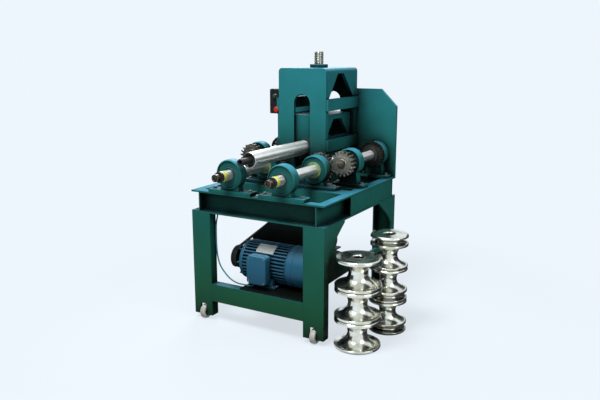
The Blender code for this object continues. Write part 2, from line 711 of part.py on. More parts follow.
def add_bearings(machine):
    """Set the bearings of the roller shafts and the countershafts on the table."""
    for side, sign in (("left", -1), ("right", 1)):
        roller_x = MIDDLE_X + sign * ROLLER_HALF_SPAN
        counter_x = MIDDLE_X + sign * COUNTER_HALF_SPAN
        nose_bore = bore_radius(ROLLER_NOSE_RADIUS)
        roller_bore = bore_radius(ROLLER_RADIUS)
        counter_bore = bore_radius(COUNTER_SHAFT_RADIUS)
        front = pillow_block(roller_x, ROLLER_AXIS, FRONT_BEARING_START, BEARING_RADIUS,
                             FRONT_FOOT_LENGTH, nose_bore)
        add_part(f"bearing_front_{side}", front, "green_enamel", machine)
        middle = pillow_block(roller_x, ROLLER_AXIS, MIDDLE_BEARING_START, BEARING_RADIUS,
                              FRONT_FOOT_LENGTH, roller_bore)
        add_part(f"bearing_middle_{side}", middle, "green_enamel", machine)
        counter = pillow_block(counter_x, COUNTER_AXIS, COUNTER_BEARING_START,
                               COUNTER_BEARING_RADIUS, COUNTER_FOOT_LENGTH, counter_bore)
        add_part(f"bearing_counter_{side}", counter, "green_enamel", machine)
        rear = pillow_block(counter_x, COUNTER_AXIS, REAR_BEARING_START - SEAT_GAP,
                            COUNTER_BEARING_RADIUS, COUNTER_FOOT_LENGTH, counter_bore)
        add_part(f"bearing_rear_{side}", rear, "green_enamel", machine)


def gear_outline(centre, teeth, first_tooth):
    """Outline of a spur gear with involute flanks, its first tooth at the given angle."""
    pressure = math.radians(20)
    pitch = GEAR_MODULE * teeth / 2
    base = pitch * math.cos(pressure)
    root = pitch - 1.25 * GEAR_MODULE
    tip = pitch + GEAR_MODULE
    pitch_half = math.pi / (2 * teeth) * (1 - GEAR_BACKLASH)

    def half_angle(radius):
        if radius <= base:
            roll = 0.0
        else:
            roll = math.acos(base / radius)
        return pitch_half + (math.tan(pressure) - pressure) - (math.tan(roll) - roll)

    flank = [(root, half_angle(base)), (tip, half_angle(tip))]
    outline = []
    for tooth in range(teeth):
        middle = first_tooth + 2 * math.pi * tooth / teeth
        for radius, half in flank:
            outline.append((centre[0] + radius * math.cos(middle - half),
                            centre[1] + radius * math.sin(middle - half)))
        for radius, half in reversed(flank):
            outline.append((centre[0] + radius * math.cos(middle + half),
                            centre[1] + radius * math.sin(middle + half)))
    return outline


def sprocket_outline(centre, teeth, tip):
    """Outline of a chain sprocket with short tapered teeth."""
    root = tip - SPROCKET_TOOTH_DEPTH
    step = 2 * math.pi / teeth
    outline = []
    for tooth in range(teeth):
        middle = step * tooth
        for radius, share in ((root, -0.34), (tip, -0.14), (tip, 0.14), (root, 0.34)):
            angle = middle + share * step
            outline.append((centre[0] + radius * math.cos(angle),
                            centre[1] + radius * math.sin(angle)))
    return outline


def add_rollers(machine):
    """Build the two driven roller shafts, each with its gear behind the middle bearing."""
    for side, sign in (("left", -1), ("right", 1)):
        centre = (MIDDLE_X + sign * ROLLER_HALF_SPAN, ROLLER_AXIS)
        nose_end = FRONT_BEARING_START + BEARING_WIDTH + FREE_GAP
        shaft = stepped_rod("Y", centre, [
            (ROLLER_STUB_RADIUS, FRONT_REACH, FRONT_REACH + ROLLER_STUB_LENGTH),
            (ROLLER_NOSE_RADIUS, FRONT_REACH + ROLLER_STUB_LENGTH, nose_end),
            (ROLLER_RADIUS, nose_end, GEAR_START + GEAR_WIDTH - WELD_BITE)])
        first_tooth = GEAR_LINE_ANGLE if sign > 0 else math.pi - GEAR_LINE_ANGLE
        gear = prism(gear_outline(centre, ROLLER_GEAR_TEETH, first_tooth), "Y",
                     GEAR_START, GEAR_START + GEAR_WIDTH)
        origin = (centre[0], GEAR_START, centre[1])
        add_part(f"roller_shaft_{side}", joined(shaft, gear), "ground_steel", machine, origin)


def add_countershafts(machine):
    """Build the countershafts with their gears, and the chain sprockets on them."""
    for side, sign in (("left", -1), ("right", 1)):
        centre = (MIDDLE_X + sign * COUNTER_HALF_SPAN, COUNTER_AXIS)
        cap_start = BACK_PLATE_BACK + RUNNING_GAP
        chain_start = LEFT_CHAIN_START if sign < 0 else RIGHT_CHAIN_START
        collar_end = chain_start - SEAT_GAP
        collar_start = collar_end - COUNTER_COLLAR_WIDTH
        shaft = stepped_rod("Y", centre, [
            (COUNTER_SHAFT_RADIUS, GEAR_START - COUNTER_SHAFT_LEAD, collar_start),
            (COUNTER_COLLAR_RADIUS, collar_start, collar_end),
            (COUNTER_SHAFT_RADIUS, collar_end, cap_start),
            (COUNTER_CAP_RADIUS, cap_start, COUNTER_CAP_REACH)])
        to_roller = math.pi + GEAR_LINE_ANGLE if sign > 0 else -GEAR_LINE_ANGLE
        first_tooth = to_roller + math.pi / COUNTER_GEAR_TEETH
        gear = prism(gear_outline(centre, COUNTER_GEAR_TEETH, first_tooth), "Y",
                     GEAR_START, GEAR_START + GEAR_WIDTH)
        origin = (centre[0], GEAR_START, centre[1])
        add_part(f"countershaft_{side}", joined(shaft, gear), "ground_steel", machine, origin)

        disc = prism(sprocket_outline(centre, LARGE_SPROCKET_TEETH, LARGE_SPROCKET_RADIUS), "Y",
                     chain_start, chain_start + CHAIN_WIDTH)
        hub_end = chain_start + CHAIN_WIDTH + FREE_GAP
        hub = rod("Y", centre, SPROCKET_HUB_RADIUS, chain_start + WELD_BITE, hub_end)
        bore = rod("Y", centre, COUNTER_SHAFT_RADIUS + SEAT_GAP, chain_start - WELD_BITE,
                   hub_end + WELD_BITE)
        sprocket = cut(joined(disc, hub), bore)
        add_part(f"chain_sprocket_{side}", sprocket, "blackened_steel", machine,
                 (centre[0], chain_start, centre[1]))


def band_outlines(first, first_radius, second, second_radius, thickness, steps=10):
    """Outer and inner outline of a band drawn tight round two circles, clear of both."""
    run = second[0] - first[0]
    rise = second[1] - first[1]
    heading = math.atan2(rise, run)
    lean = math.asin((second_radius - first_radius) / math.hypot(run, rise))
    half_wrap = math.pi / 2 + lean
    ends = ((second, second_radius, heading, half_wrap),
            (first, first_radius, heading + math.pi, math.pi - half_wrap))
    outlines = []
    for extra in (thickness, 0.0):
        outline = []
        for centre, radius, middle, half in ends:
            reach = (radius + extra) / math.cos(half / steps)
            for step in range(steps + 1):
                angle = middle + half * (2 * step / steps - 1)
                outline.append((centre[0] + reach * math.cos(angle),
                                centre[1] + reach * math.sin(angle)))
        outlines.append(outline)
    return outlines


def add_chains(machine):
    """Build the two chain loops from the gearbox up to the countershafts."""
    for side, sign, start in (("left", -1, LEFT_CHAIN_START), ("right", 1, RIGHT_CHAIN_START)):
        upper = (MIDDLE_X + sign * COUNTER_HALF_SPAN, COUNTER_AXIS)
        outer, inner = band_outlines((MIDDLE_X, OUTPUT_AXIS), SMALL_SPROCKET_RADIUS + RUNNING_GAP,
                                     upper, LARGE_SPROCKET_RADIUS + RUNNING_GAP,
                                     CHAIN_THICKNESS)
        chain = ring_prism(outer, inner, "Y", start, start + CHAIN_WIDTH)
        add_part(f"drive_chain_{side}", chain, "blackened_steel", machine)


def arch_outline(bottom):
    """Outline in X and Z of the slot with a round top that the upper shaft rises in."""
    half = SLOT_WIDTH / 2
    outline = [(MIDDLE_X - half, bottom), (MIDDLE_X + half, bottom)]
    return outline + arc((MIDDLE_X, SLOT_TOP - half), (half, half), 0, 180, 12)


def add_press_head(machine):
    """Build the head: bent front plate, two side plates, back plate and nut."""
    finish = "green_enamel"
    left = MIDDLE_X - HEAD_HALF_WIDTH
    right = MIDDLE_X + HEAD_HALF_WIDTH
    corner = HEAD_CORNER_RADIUS
    front_inner = HEAD_FRONT + HEAD_PLATE
    rear_inner = HEAD_BACK - HEAD_PLATE
    slot = prism(arch_outline(SEAT_TOP - WELD_BITE), "Y", HEAD_FRONT - WELD_BITE,
                 BACK_PLATE_BACK + WELD_BITE)
    face = [(left, SEAT_TOP), (right, SEAT_TOP)]
    face += arc((right - corner, HEAD_TOP - corner), (corner, corner), 0, 90, 4)
    face += arc((left + corner, HEAD_TOP - corner), (corner, corner), 90, 180, 4)
    front = prism(face, "Y", HEAD_FRONT, front_inner)
    roof = prism([(left, HEAD_TOP - HEAD_PLATE)]
                 + [(right, HEAD_TOP - HEAD_PLATE)]
                 + arc((right - corner, HEAD_TOP - corner), (corner, corner), 0, 90, 4)
                 + arc((left + corner, HEAD_TOP - corner), (corner, corner), 90, 180, 4),
                 "Y", front_inner - WELD_BITE, rear_inner - SEAT_GAP)
    nut_hole = rod("Z", (MIDDLE_X, SCREW_Y), bore_radius(NUT_BODY_RADIUS),
                   HEAD_TOP - 2 * HEAD_PLATE, HEAD_TOP + WELD_BITE)
    add_part("head_front_plate", cut(joined(front, roof), slot, nut_hole), finish, machine)

    shoulder = BACK_PLATE_TOP - BACK_PLATE_CHAMFER
    wide = [(0, SEAT_TOP), (TABLE_WIDTH, SEAT_TOP), (TABLE_WIDTH, shoulder),
            (TABLE_WIDTH - BACK_PLATE_CHAMFER, BACK_PLATE_TOP),
            (BACK_PLATE_CHAMFER, BACK_PLATE_TOP), (0, shoulder)]
    back = prism(wide, "Y", HEAD_BACK, BACK_PLATE_BACK)
    head_rear = prism(face, "Y", rear_inner, HEAD_BACK + WELD_BITE)
    holes = []
    for sign in (-1, 1):
        centre = (MIDDLE_X + sign * COUNTER_HALF_SPAN, COUNTER_AXIS)
        holes.append(rod("Y", centre, COUNTER_SHAFT_RADIUS + FREE_GAP, rear_inner,
                         BACK_PLATE_BACK + WELD_BITE))
    add_part("back_plate", cut(joined(back, head_rear), slot, *holes), finish, machine)

    for side in ("left", "right"):
        plate = head_side_plate(front_inner + SEAT_GAP, rear_inner - SEAT_GAP)
        if side == "left":
            mirrored_mesh(plate, MIDDLE_X)
        add_part(f"head_side_plate_{side}", plate, finish, machine)

    bore = bore_radius(SCREW_RADIUS)
    seat = HEAD_TOP + SEAT_GAP
    flange_top = seat + NUT_FLANGE_HEIGHT
    nut = turned([(bore, flange_top), (NUT_FLANGE_RADIUS, flange_top), (NUT_FLANGE_RADIUS, seat),
                  (NUT_BODY_RADIUS, seat), (NUT_BODY_RADIUS, HEAD_TOP - NUT_BODY_DEPTH),
                  (bore, HEAD_TOP - NUT_BODY_DEPTH)], "Z", (MIDDLE_X, SCREW_Y))
    add_part("press_nut", nut, finish, machine)


def head_side_plate(start, end):
    """Build the head's right side plate with its window, its opening and two proud bars."""
    inner = MIDDLE_X + SIDE_INNER
    outer = MIDDLE_X + SIDE_OUTER
    roof_under = HEAD_TOP - HEAD_PLATE - SEAT_GAP
    plate = box((inner, outer), (start, end), (LOWER_BAR_BOTTOM, roof_under))
    bar_top = UPPER_BAR_BOTTOM + UPPER_BAR_HEIGHT
    half = WINDOW_TOP_WIDTH / 2
    window = prism([(start + WINDOW_BOTTOM_MARGIN / 2, bar_top),
                    (end - WINDOW_BOTTOM_MARGIN, bar_top),
                    (WINDOW_TOP_MIDDLE + half, WINDOW_TOP - SEAT_GAP - HEAD_PLATE / 2),
                    (WINDOW_TOP_MIDDLE - half, WINDOW_TOP - SEAT_GAP - HEAD_PLATE / 2)],
                   "X", inner - WELD_BITE, outer + WELD_BITE)
    opening = box((inner - WELD_BITE, outer + WELD_BITE),
                  (start + UPRIGHT_WIDTH, end - UPRIGHT_WIDTH),
                  (LOWER_BAR_BOTTOM + LOWER_BAR_HEIGHT, UPPER_BAR_BOTTOM))
    bars = []
    for bottom, height in ((UPPER_BAR_BOTTOM, UPPER_BAR_HEIGHT), (LOWER_BAR_BOTTOM, LOWER_BAR_HEIGHT)):
        bars.append(box((outer + SEAT_GAP, outer + BAR_RELIEF),
                        (HEAD_FRONT + WELD_BITE, BACK_PLATE_LIMIT), (bottom, bottom + height)))
        bars.append(box((outer - WELD_BITE, outer + WELD_BITE),
                        (start + WELD_BITE, end - WELD_BITE),
                        (bottom + WELD_BITE, bottom + height - WELD_BITE)))
    return joined(cut(plate, window, opening), *bars)


def add_carriage(machine):
    """Build the sliding carriage, the upper shaft in it and the press screw."""
    half = SIDE_INNER - FREE_GAP
    left = MIDDLE_X - half
    right = MIDDLE_X + half
    front = HEAD_FRONT + HEAD_PLATE + RUNNING_GAP
    back = front + CARRIAGE_DEPTH
    guide_back = HEAD_BACK - HEAD_PLATE - RUNNING_GAP
    wall = CARRIAGE_WALL
    shell = box((left, right), (front, back), (CARRIAGE_BOTTOM, CARRIAGE_TOP))
    hollow = box((left + wall, right - wall), (front + wall, back - wall),
                 (CARRIAGE_BOTTOM - WELD_BITE, CARRIAGE_TOP - wall))
    middle_y = (front + back) / 2
    low_half = CARRIAGE_DEPTH / 2 - CARRIAGE_WINDOW_MARGIN
    top_half = CARRIAGE_WINDOW_TOP_WIDTH / 2
    window = prism([(middle_y - low_half, CARRIAGE_WINDOW_BOTTOM),
                    (middle_y + low_half, CARRIAGE_WINDOW_BOTTOM),
                    (middle_y + top_half, CARRIAGE_WINDOW_TOP),
                    (middle_y - top_half, CARRIAGE_WINDOW_TOP)],
                   "X", left - WELD_BITE, right + WELD_BITE)
    guide = box((MIDDLE_X - GUIDE_BLOCK_HALF_WIDTH, MIDDLE_X + GUIDE_BLOCK_HALF_WIDTH),
                (back - WELD_BITE, guide_back),
                (CARRIAGE_BOTTOM + WELD_BITE, CARRIAGE_TOP - WELD_BITE))
    shaft_bore = rod("Y", (MIDDLE_X, UPPER_AXIS), bore_radius(UPPER_SHAFT_RADIUS),
                     front - WELD_BITE, guide_back + WELD_BITE)
    screw_bore = rod("Z", (MIDDLE_X, SCREW_Y), bore_radius(SCREW_RADIUS),
                     CARRIAGE_TOP - 2 * wall, CARRIAGE_TOP + WELD_BITE)
    carriage = cut(joined(cut(shell, hollow), guide), window, shaft_bore, screw_bore)
    add_part("carriage", carriage, "green_enamel", machine, (MIDDLE_X, SCREW_Y, CARRIAGE_BOTTOM))

    recess = UPPER_SHAFT_FRONT + UPPER_SHAFT_RECESS
    stub_tip = UPPER_SHAFT_FRONT - UPPER_STUB_REACH
    shaft = turned([(0, recess), (UPPER_STUB_BORE, recess), (UPPER_STUB_BORE, stub_tip),
                    (UPPER_STUB_RADIUS, stub_tip), (UPPER_STUB_RADIUS, recess),
                    (UPPER_SHAFT_RECESS_RADIUS, recess),
                    (UPPER_SHAFT_RECESS_RADIUS, UPPER_SHAFT_FRONT),
                    (UPPER_SHAFT_RADIUS, UPPER_SHAFT_FRONT),
                    (UPPER_SHAFT_RADIUS, BACK_PLATE_BACK + UPPER_SHAFT_TAIL),
                    (0, BACK_PLATE_BACK + UPPER_SHAFT_TAIL)], "Y", (MIDDLE_X, UPPER_AXIS))
    add_part("upper_shaft", shaft, "ground_steel", machine, (MIDDLE_X, recess, UPPER_AXIS))

    under = CARRIAGE_TOP - wall - SEAT_GAP
    over = CARRIAGE_TOP + SEAT_GAP
    screw = stepped_rod("Z", (MIDDLE_X, SCREW_Y), [
        (SCREW_COLLAR_RADIUS, under - SCREW_COLLAR_HEIGHT, under),
        (SCREW_RADIUS, under, over),
        (SCREW_COLLAR_RADIUS, over, over + SCREW_COLLAR_HEIGHT),
        (SCREW_RADIUS, over + SCREW_COLLAR_HEIGHT, SCREW_TOP)])
    add_part("press_screw", screw, "ground_steel", machine, (MIDDLE_X, SCREW_Y, over))


def add_drive_shelf(machine):
    """Build the cradle that hangs from the cross members and carries the gearbox and motor."""
    belt_side = BELT_MIDDLE + BELT_WIDTH / 2 + FREE_GAP
    top = MEMBER_BOTTOM - SEAT_GAP
    corner = belt_side + APRON_CORNER_WIDTH
    apron = prism([(belt_side, MOTOR_PLATE_BOTTOM), (APRON_RIGHT, MOTOR_PLATE_BOTTOM),
                   (APRON_RIGHT, top), (corner, top), (corner, APRON_CORNER_TOP),
                   (belt_side, APRON_CORNER_LOW)], "Y", APRON_FRONT, APRON_BACK)
    rib = box((belt_side, APRON_RIGHT), (APRON_FRONT - APRON_RIB_REACH, APRON_FRONT + WELD_BITE),
              (APRON_RIB_HEIGHT, APRON_RIB_HEIGHT + APRON_RIB_REACH))
    motor_plate = box((MOTOR_PLATE_LEFT, APRON_RIGHT - WELD_BITE),
                      (WEB_THICKNESS, APRON_FRONT + WELD_BITE),
                      (MOTOR_PLATE_BOTTOM, MOTOR_PLATE_TOP))
    half = GEARBOX_BASE_LENGTH / 2 + STRAP_INSET
    shelf = box((MIDDLE_X - half, MIDDLE_X + half), (APRON_BACK - WELD_BITE, SHELF_BACK),
                (SHELF_HEIGHT, SHELF_TOP))
    straps = []
    for left in (MIDDLE_X - half, MIDDLE_X + half - STRAP_WIDTH):
        straps.append(box((left + WELD_BITE, left + STRAP_WIDTH - WELD_BITE),
                          (REAR_MEMBER_START, REAR_MEMBER_START + SHELF_THICKNESS),
                          (SHELF_TOP - WELD_BITE, top)))
    cradle = joined(apron, rib, motor_plate, shelf, *straps)
    add_part("drive_shelf", cradle, "green_enamel", machine)


def add_gearbox(machine):
    """Build the worm gearbox with its input pulley and its two output sprockets."""
    worm = (WORM_DEPTH, WORM_HEIGHT)
    wheel = (MIDDLE_X, OUTPUT_AXIS)
    left = MIDDLE_X - GEARBOX_HALF_LENGTH
    right = MIDDLE_X + GEARBOX_HALF_LENGTH
    housing_front = WORM_DEPTH - WHEEL_HOUSING_WIDTH / 2
    housing_back = WORM_DEPTH + WHEEL_HOUSING_WIDTH / 2
    floor = SHELF_TOP + SEAT_GAP
    base_half = GEARBOX_BASE_LENGTH / 2
    worm_housing = rod("X", worm, WORM_HOUSING_RADIUS, left, right)
    wheel_housing = rod("Y", wheel, WHEEL_HOUSING_RADIUS, housing_front, housing_back)
    base = box((MIDDLE_X - base_half, MIDDLE_X + base_half), (housing_front, housing_back),
               (floor, floor + GEARBOX_BASE_HEIGHT))
    waist_half = 0.9 * WHEEL_HOUSING_RADIUS
    waist = box((MIDDLE_X - waist_half, MIDDLE_X + waist_half),
                (housing_front + WELD_BITE, housing_back - WELD_BITE),
                (floor + WELD_BITE, OUTPUT_AXIS))
    cover = rod("Y", wheel, GEARBOX_COVER_RADIUS, housing_front - GEARBOX_COVER_DEPTH,
                housing_front + WELD_BITE)
    input_socket = rod("X", worm, bore_radius(GEARBOX_SHAFT_RADIUS), left - WELD_BITE,
                       left + SHAFT_SOCKET_DEPTH)
    output_socket = rod("Y", wheel, bore_radius(OUTPUT_SHAFT_RADIUS),
                        housing_back - SHAFT_SOCKET_DEPTH, housing_back + WELD_BITE)
    housing = cut(joined(wheel_housing, waist, base, worm_housing, cover), input_socket,
                  output_socket)
    add_part("gearbox_housing", housing, "grey_enamel", machine)

    pulley = pulley_shape(worm, GEARBOX_PULLEY_RADIUS)
    pulley_right = BELT_MIDDLE + PULLEY_WIDTH / 2
    shaft = rod("X", worm, GEARBOX_SHAFT_RADIUS, pulley_right - WELD_BITE,
                left + SHAFT_SOCKET_DEPTH - SEAT_GAP, SMALL_SIDES)
    add_part("gearbox_pulley", joined(pulley, shaft), "blackened_steel", machine,
             (BELT_MIDDLE, *worm))

    shaft = rod("Y", wheel, OUTPUT_SHAFT_RADIUS, housing_back - SHAFT_SOCKET_DEPTH + SEAT_GAP,
                RIGHT_CHAIN_START + CHAIN_WIDTH + FREE_GAP, SMALL_SIDES)
    discs = []
    for start in (LEFT_CHAIN_START, RIGHT_CHAIN_START):
        outline = sprocket_outline(wheel, SMALL_SPROCKET_TEETH, SMALL_SPROCKET_RADIUS)
        discs.append(prism(outline, "Y", start, start + CHAIN_WIDTH))
    add_part("gearbox_sprocket", joined(shaft, *discs), "blackened_steel", machine,
             (MIDDLE_X, LEFT_CHAIN_START, OUTPUT_AXIS))


def pulley_shape(centre, radius):
    """Build a belt pulley on an axis along X, with a straight-sided groove for the belt."""
    left = BELT_MIDDLE - PULLEY_WIDTH / 2
    right = BELT_MIDDLE + PULLEY_WIDTH / 2
    groove_half = BELT_WIDTH / 2 + RUNNING_GAP
    floor = radius - PULLEY_LIP - BELT_THICKNESS - SEAT_GAP
    return turned([(0, left), (radius, left), (radius, BELT_MIDDLE - groove_half),
                   (floor, BELT_MIDDLE - groove_half), (floor, BELT_MIDDLE + groove_half),
                   (radius, BELT_MIDDLE + groove_half), (radius, right), (0, right)],
                  "X", centre)


def add_belt_drive(machine):
    """Build the motor's pulley with its shaft, and the belt up to the gearbox."""
    motor_axis = (MOTOR_DEPTH, MOTOR_HEIGHT)
    pulley_right = BELT_MIDDLE + PULLEY_WIDTH / 2
    shaft = rod("X", motor_axis, GEARBOX_SHAFT_RADIUS, pulley_right - WELD_BITE,
                MOTOR_START + SHAFT_SOCKET_DEPTH - SEAT_GAP, SMALL_SIDES)
    pulley = joined(pulley_shape(motor_axis, MOTOR_PULLEY_RADIUS), shaft)
    add_part("motor_pulley", pulley, "blackened_steel", machine, (BELT_MIDDLE, *motor_axis))

    outer, inner = band_outlines(motor_axis, MOTOR_PULLEY_RADIUS - PULLEY_LIP - BELT_THICKNESS,
                                 (WORM_DEPTH, WORM_HEIGHT),
                                 GEARBOX_PULLEY_RADIUS - PULLEY_LIP - BELT_THICKNESS,
                                 BELT_THICKNESS)
    belt = ring_prism(outer, inner, "X", BELT_MIDDLE - BELT_WIDTH / 2,
                      BELT_MIDDLE + BELT_WIDTH / 2)
    add_part("drive_belt", belt, "black_rubber", machine)


def add_motor(machine):
    """Build the motor: finned body on feet, fan cover and terminal box."""
    axis = (MOTOR_DEPTH, MOTOR_HEIGHT)
    step = 2 * math.pi / MOTOR_FIN_COUNT
    outline = []
    for fin in range(MOTOR_FIN_COUNT):
        for radius, share in ((MOTOR_CORE_RADIUS, -0.26), (MOTOR_FIN_RADIUS, -0.14),
                              (MOTOR_FIN_RADIUS, 0.14), (MOTOR_CORE_RADIUS, 0.26)):
            angle = step * (fin + share)
            outline.append((axis[0] + radius * math.cos(angle),
                            axis[1] + radius * math.sin(angle)))
    fins = prism(outline, "X", MOTOR_BODY_START, MOTOR_BODY_END)
    bell = stepped_rod("X", axis, [
        (MOTOR_BELL_NOSE_RADIUS, MOTOR_START, MOTOR_START + MOTOR_BELL_LENGTH / 2),
        (MOTOR_BELL_RADIUS, MOTOR_START + MOTOR_BELL_LENGTH / 2, MOTOR_BODY_START + WELD_BITE)])
    feet = []
    foot_middle = (MOTOR_BODY_START + MOTOR_BODY_END) / 2
    foot_floor = MOTOR_PLATE_TOP + SEAT_GAP
    for side in (-1, 1):
        across = MOTOR_DEPTH + side * MOTOR_FOOT_SPREAD
        inner = across - side * MOTOR_FOOT_WIDTH
        outer = across + side * MOTOR_FOOT_WIDTH / 2
        feet.append(box((foot_middle - MOTOR_FOOT_LENGTH / 2, foot_middle + MOTOR_FOOT_LENGTH / 2),
                        (min(inner, outer), max(inner, outer)),
                        (foot_floor, foot_floor + MOTOR_FOOT_THICKNESS)))
        stem = across - side * MOTOR_FOOT_WIDTH
        feet.append(box((foot_middle - 0.4 * MOTOR_FOOT_LENGTH,
                         foot_middle + 0.4 * MOTOR_FOOT_LENGTH),
                        (stem - MOTOR_FOOT_WIDTH / 3, stem + MOTOR_FOOT_WIDTH / 3),
                        (foot_floor + WELD_BITE, MOTOR_HEIGHT - MOTOR_CORE_RADIUS / 2)))
    socket = rod("X", axis, bore_radius(GEARBOX_SHAFT_RADIUS), MOTOR_START - WELD_BITE,
                 MOTOR_START + SHAFT_SOCKET_DEPTH)
    body = cut(joined(fins, bell, *feet), socket)
    add_part("motor_body", body, "blue_enamel", machine)

    start = MOTOR_BODY_END + SEAT_GAP
    end = start + FAN_COVER_LENGTH
    outer = FAN_COVER_RADIUS
    wall = FAN_COVER_WALL
    rounding = FAN_COVER_ROUNDING
    outside = arc((outer - rounding, end - rounding), (rounding, rounding), 0, 90, 4)
    inside = arc((outer - rounding, end - rounding), (rounding - wall, rounding - wall), 90, 0, 4)
    profile = [(outer, start)] + outside + [(FAN_INTAKE_RADIUS, end), (FAN_INTAKE_RADIUS, end - wall)]
    profile += inside + [(outer - wall, start)]
    add_part("motor_fan_cover", turned(profile, "X", axis), "blue_enamel", machine)

    add_terminal_box(machine)


def rounded_outline(low_a, high_a, low_b, high_b, radius, steps=3):
    """Outline of a rectangle with round corners."""
    outline = arc((high_a - radius, low_b + radius), (radius, radius), -90, 0, steps)
    outline += arc((high_a - radius, high_b - radius), (radius, radius), 0, 90, steps)
    outline += arc((low_a + radius, high_b - radius), (radius, radius), 90, 180, steps)
    outline += arc((low_a + radius, low_b + radius), (radius, radius), 180, 270, steps)
    return outline


def add_terminal_box(machine):
    """Build the terminal box on the front of the motor, hollowed to fit over its fins."""
    right = TERMINAL_BOX_START + TERMINAL_BOX_WIDTH
    top = TERMINAL_BOX_BOTTOM + TERMINAL_BOX_HEIGHT
    outline = rounded_outline(TERMINAL_BOX_START, right, TERMINAL_BOX_BOTTOM, top,
                              TERMINAL_BOX_ROUNDING)
    block = prism(outline, "Y", TERMINAL_BOX_FRONT, MOTOR_DEPTH - 0.4 * MOTOR_FIN_RADIUS)
    body_radius = MOTOR_FIN_RADIUS / math.cos(math.pi / (2 * ROUND_SIDES)) + SEAT_GAP
    body_space = rod("X", (MOTOR_DEPTH, MOTOR_HEIGHT), body_radius,
                     TERMINAL_BOX_START - WELD_BITE, right + WELD_BITE, 2 * ROUND_SIDES)
    add_part("terminal_box", cut(block, body_space), "blue_enamel", machine)


def add_control_box(machine):
    """Build the control box beside the head, with a start and a stop button."""
    right = MIDDLE_X - SIDE_OUTER - BAR_RELIEF - SEAT_GAP
    left = right - CONTROL_BOX_WIDTH
    front = CONTROL_BOX_FRONT
    outline = rounded_outline(left, right, front, front + CONTROL_BOX_DEPTH,
                              CONTROL_BOX_ROUNDING, 2)
    block = prism(outline, "Z", CONTROL_BOX_BOTTOM, CONTROL_BOX_BOTTOM + CONTROL_BOX_HEIGHT)
    buttons = (("start_button", START_BUTTON_INSET, START_BUTTON_RISE, START_BUTTON_RADIUS,
                START_BUTTON_LENGTH, "green_plastic"),
               ("stop_button", STOP_BUTTON_INSET, STOP_BUTTON_RISE, STOP_BUTTON_RADIUS,
                STOP_BUTTON_LENGTH, "red_plastic"))
    sockets = []
    for name, inset, rise, radius, length, finish in buttons:
        centre = (left + inset, CONTROL_BOX_BOTTOM + rise)
        sockets.append(rod("Y", centre, BUTTON_STEM_RADIUS + SEAT_GAP, front - WELD_BITE,
                           front + BUTTON_SOCKET_DEPTH, SMALL_SIDES))
        face = front - BUTTON_HEAD_GAP - length
        button = stepped_rod("Y", centre, [
            (0.85 * radius, face, face + 0.2 * length),
            (radius, face + 0.2 * length, front - BUTTON_HEAD_GAP),
            (BUTTON_STEM_RADIUS, front - BUTTON_HEAD_GAP,
             front + BUTTON_SOCKET_DEPTH - BUTTON_HEAD_GAP)], SMALL_SIDES)
        add_part(name, button, finish, machine, (centre[0], face, centre[1]))
    add_part("control_box", cut(block, *sockets), "black_plastic", machine)


def cable_route():
    """Points of the motor cable, from the terminal box to the control box."""
    bend = CABLE_BEND
    reach = CABLE_CLEARANCE + CABLE_DIAMETER / 2
    box_x = TERMINAL_BOX_START + 0.25 * TERMINAL_BOX_WIDTH
    box_y = TERMINAL_BOX_FRONT + 0.25 * TERMINAL_BOX_WIDTH
    box_z = TERMINAL_BOX_BOTTOM
    leg_x = LEG_WIDTH + reach
    leg_y = CHANNEL_FLANGE - reach
    inner = CHANNEL_FLANGE + reach
    tray = TABLE_BOTTOM + 2 * bend
    box_right = MIDDLE_X - SIDE_OUTER - BAR_RELIEF - SEAT_GAP
    rise_x = box_right - 0.38 * CONTROL_BOX_WIDTH
    rise_y = CONTROL_BOX_FRONT + CONTROL_BOX_DEPTH / 2
    route = [(box_x, box_y, box_z - 2 * RUNNING_GAP),
             (box_x, box_y, box_z - 0.2 * bend),
             (box_x - 0.1 * bend, box_y, box_z - 0.5 * bend)]
    over_plate = MOTOR_PLATE_TOP + CABLE_DIAMETER / 2 + 2 * RUNNING_GAP
    over_rail = FRONT_RAIL_BOTTOM + FRONT_RAIL_HEIGHT + reach
    for share in (0.07, 0.25, 0.45, 0.65, 0.82, 0.94):
        low = over_plate if share < 0.3 else over_rail
        route.append((box_x + (leg_x - box_x) * share, box_y + (leg_y - box_y) * share,
                      low + (CABLE_LEG_START - low) * share ** 4))
    route += [(leg_x, leg_y, CABLE_LEG_START + 2 * bend),
              (leg_x, leg_y, TABLE_BOTTOM - 3 * bend),
              (leg_x, inner - 0.2 * bend, TABLE_BOTTOM - 0.7 * bend),
              (leg_x - 0.7 * bend, inner + 0.4 * bend, TABLE_BOTTOM + bend),
              (inner + 1.2 * bend, inner + 1.2 * bend, tray - 0.2 * bend),
              (inner, inner + 3 * bend, tray)]
    for share in (0.3, 0.6, 0.9):
        along = inner + 3 * bend + (rise_y - inner - 6 * bend) * share
        route.append((inner, along, tray - 2 * bend * share * (1 - share)))
    route += [(inner + 1.6 * bend, rise_y - 1.4 * bend, tray + 0.4 * bend),
              (rise_x - 0.5 * bend, rise_y - 0.2 * bend, TABLE_TOP),
              (rise_x, rise_y, TABLE_TOP + 3 * bend),
              (rise_x, rise_y, (TABLE_TOP + CONTROL_BOX_BOTTOM) / 2),
              (rise_x, rise_y, CONTROL_BOX_BOTTOM - bend),
              (rise_x, rise_y, CONTROL_BOX_BOTTOM - 2 * RUNNING_GAP)]
    return route


def smooth_points(points, steps):
    """Draw a smooth curve through the points, with as many steps in each span."""
    places = [Vector(point) for point in points]
    places = [2 * places[0] - places[1]] + places + [2 * places[-1] - places[-2]]
    result = []
    for index in range(1, len(places) - 2):
        before, start, end, after = places[index - 1:index + 3]
        for step in range(steps):
            t = step / steps
            result.append(0.5 * (2 * start + (end - before) * t
                                 + (2 * before - 5 * start + 4 * end - after) * t ** 2
                                 + (3 * start - before - 3 * end + after) * t ** 3))
    result.append(places[-2])
    return result


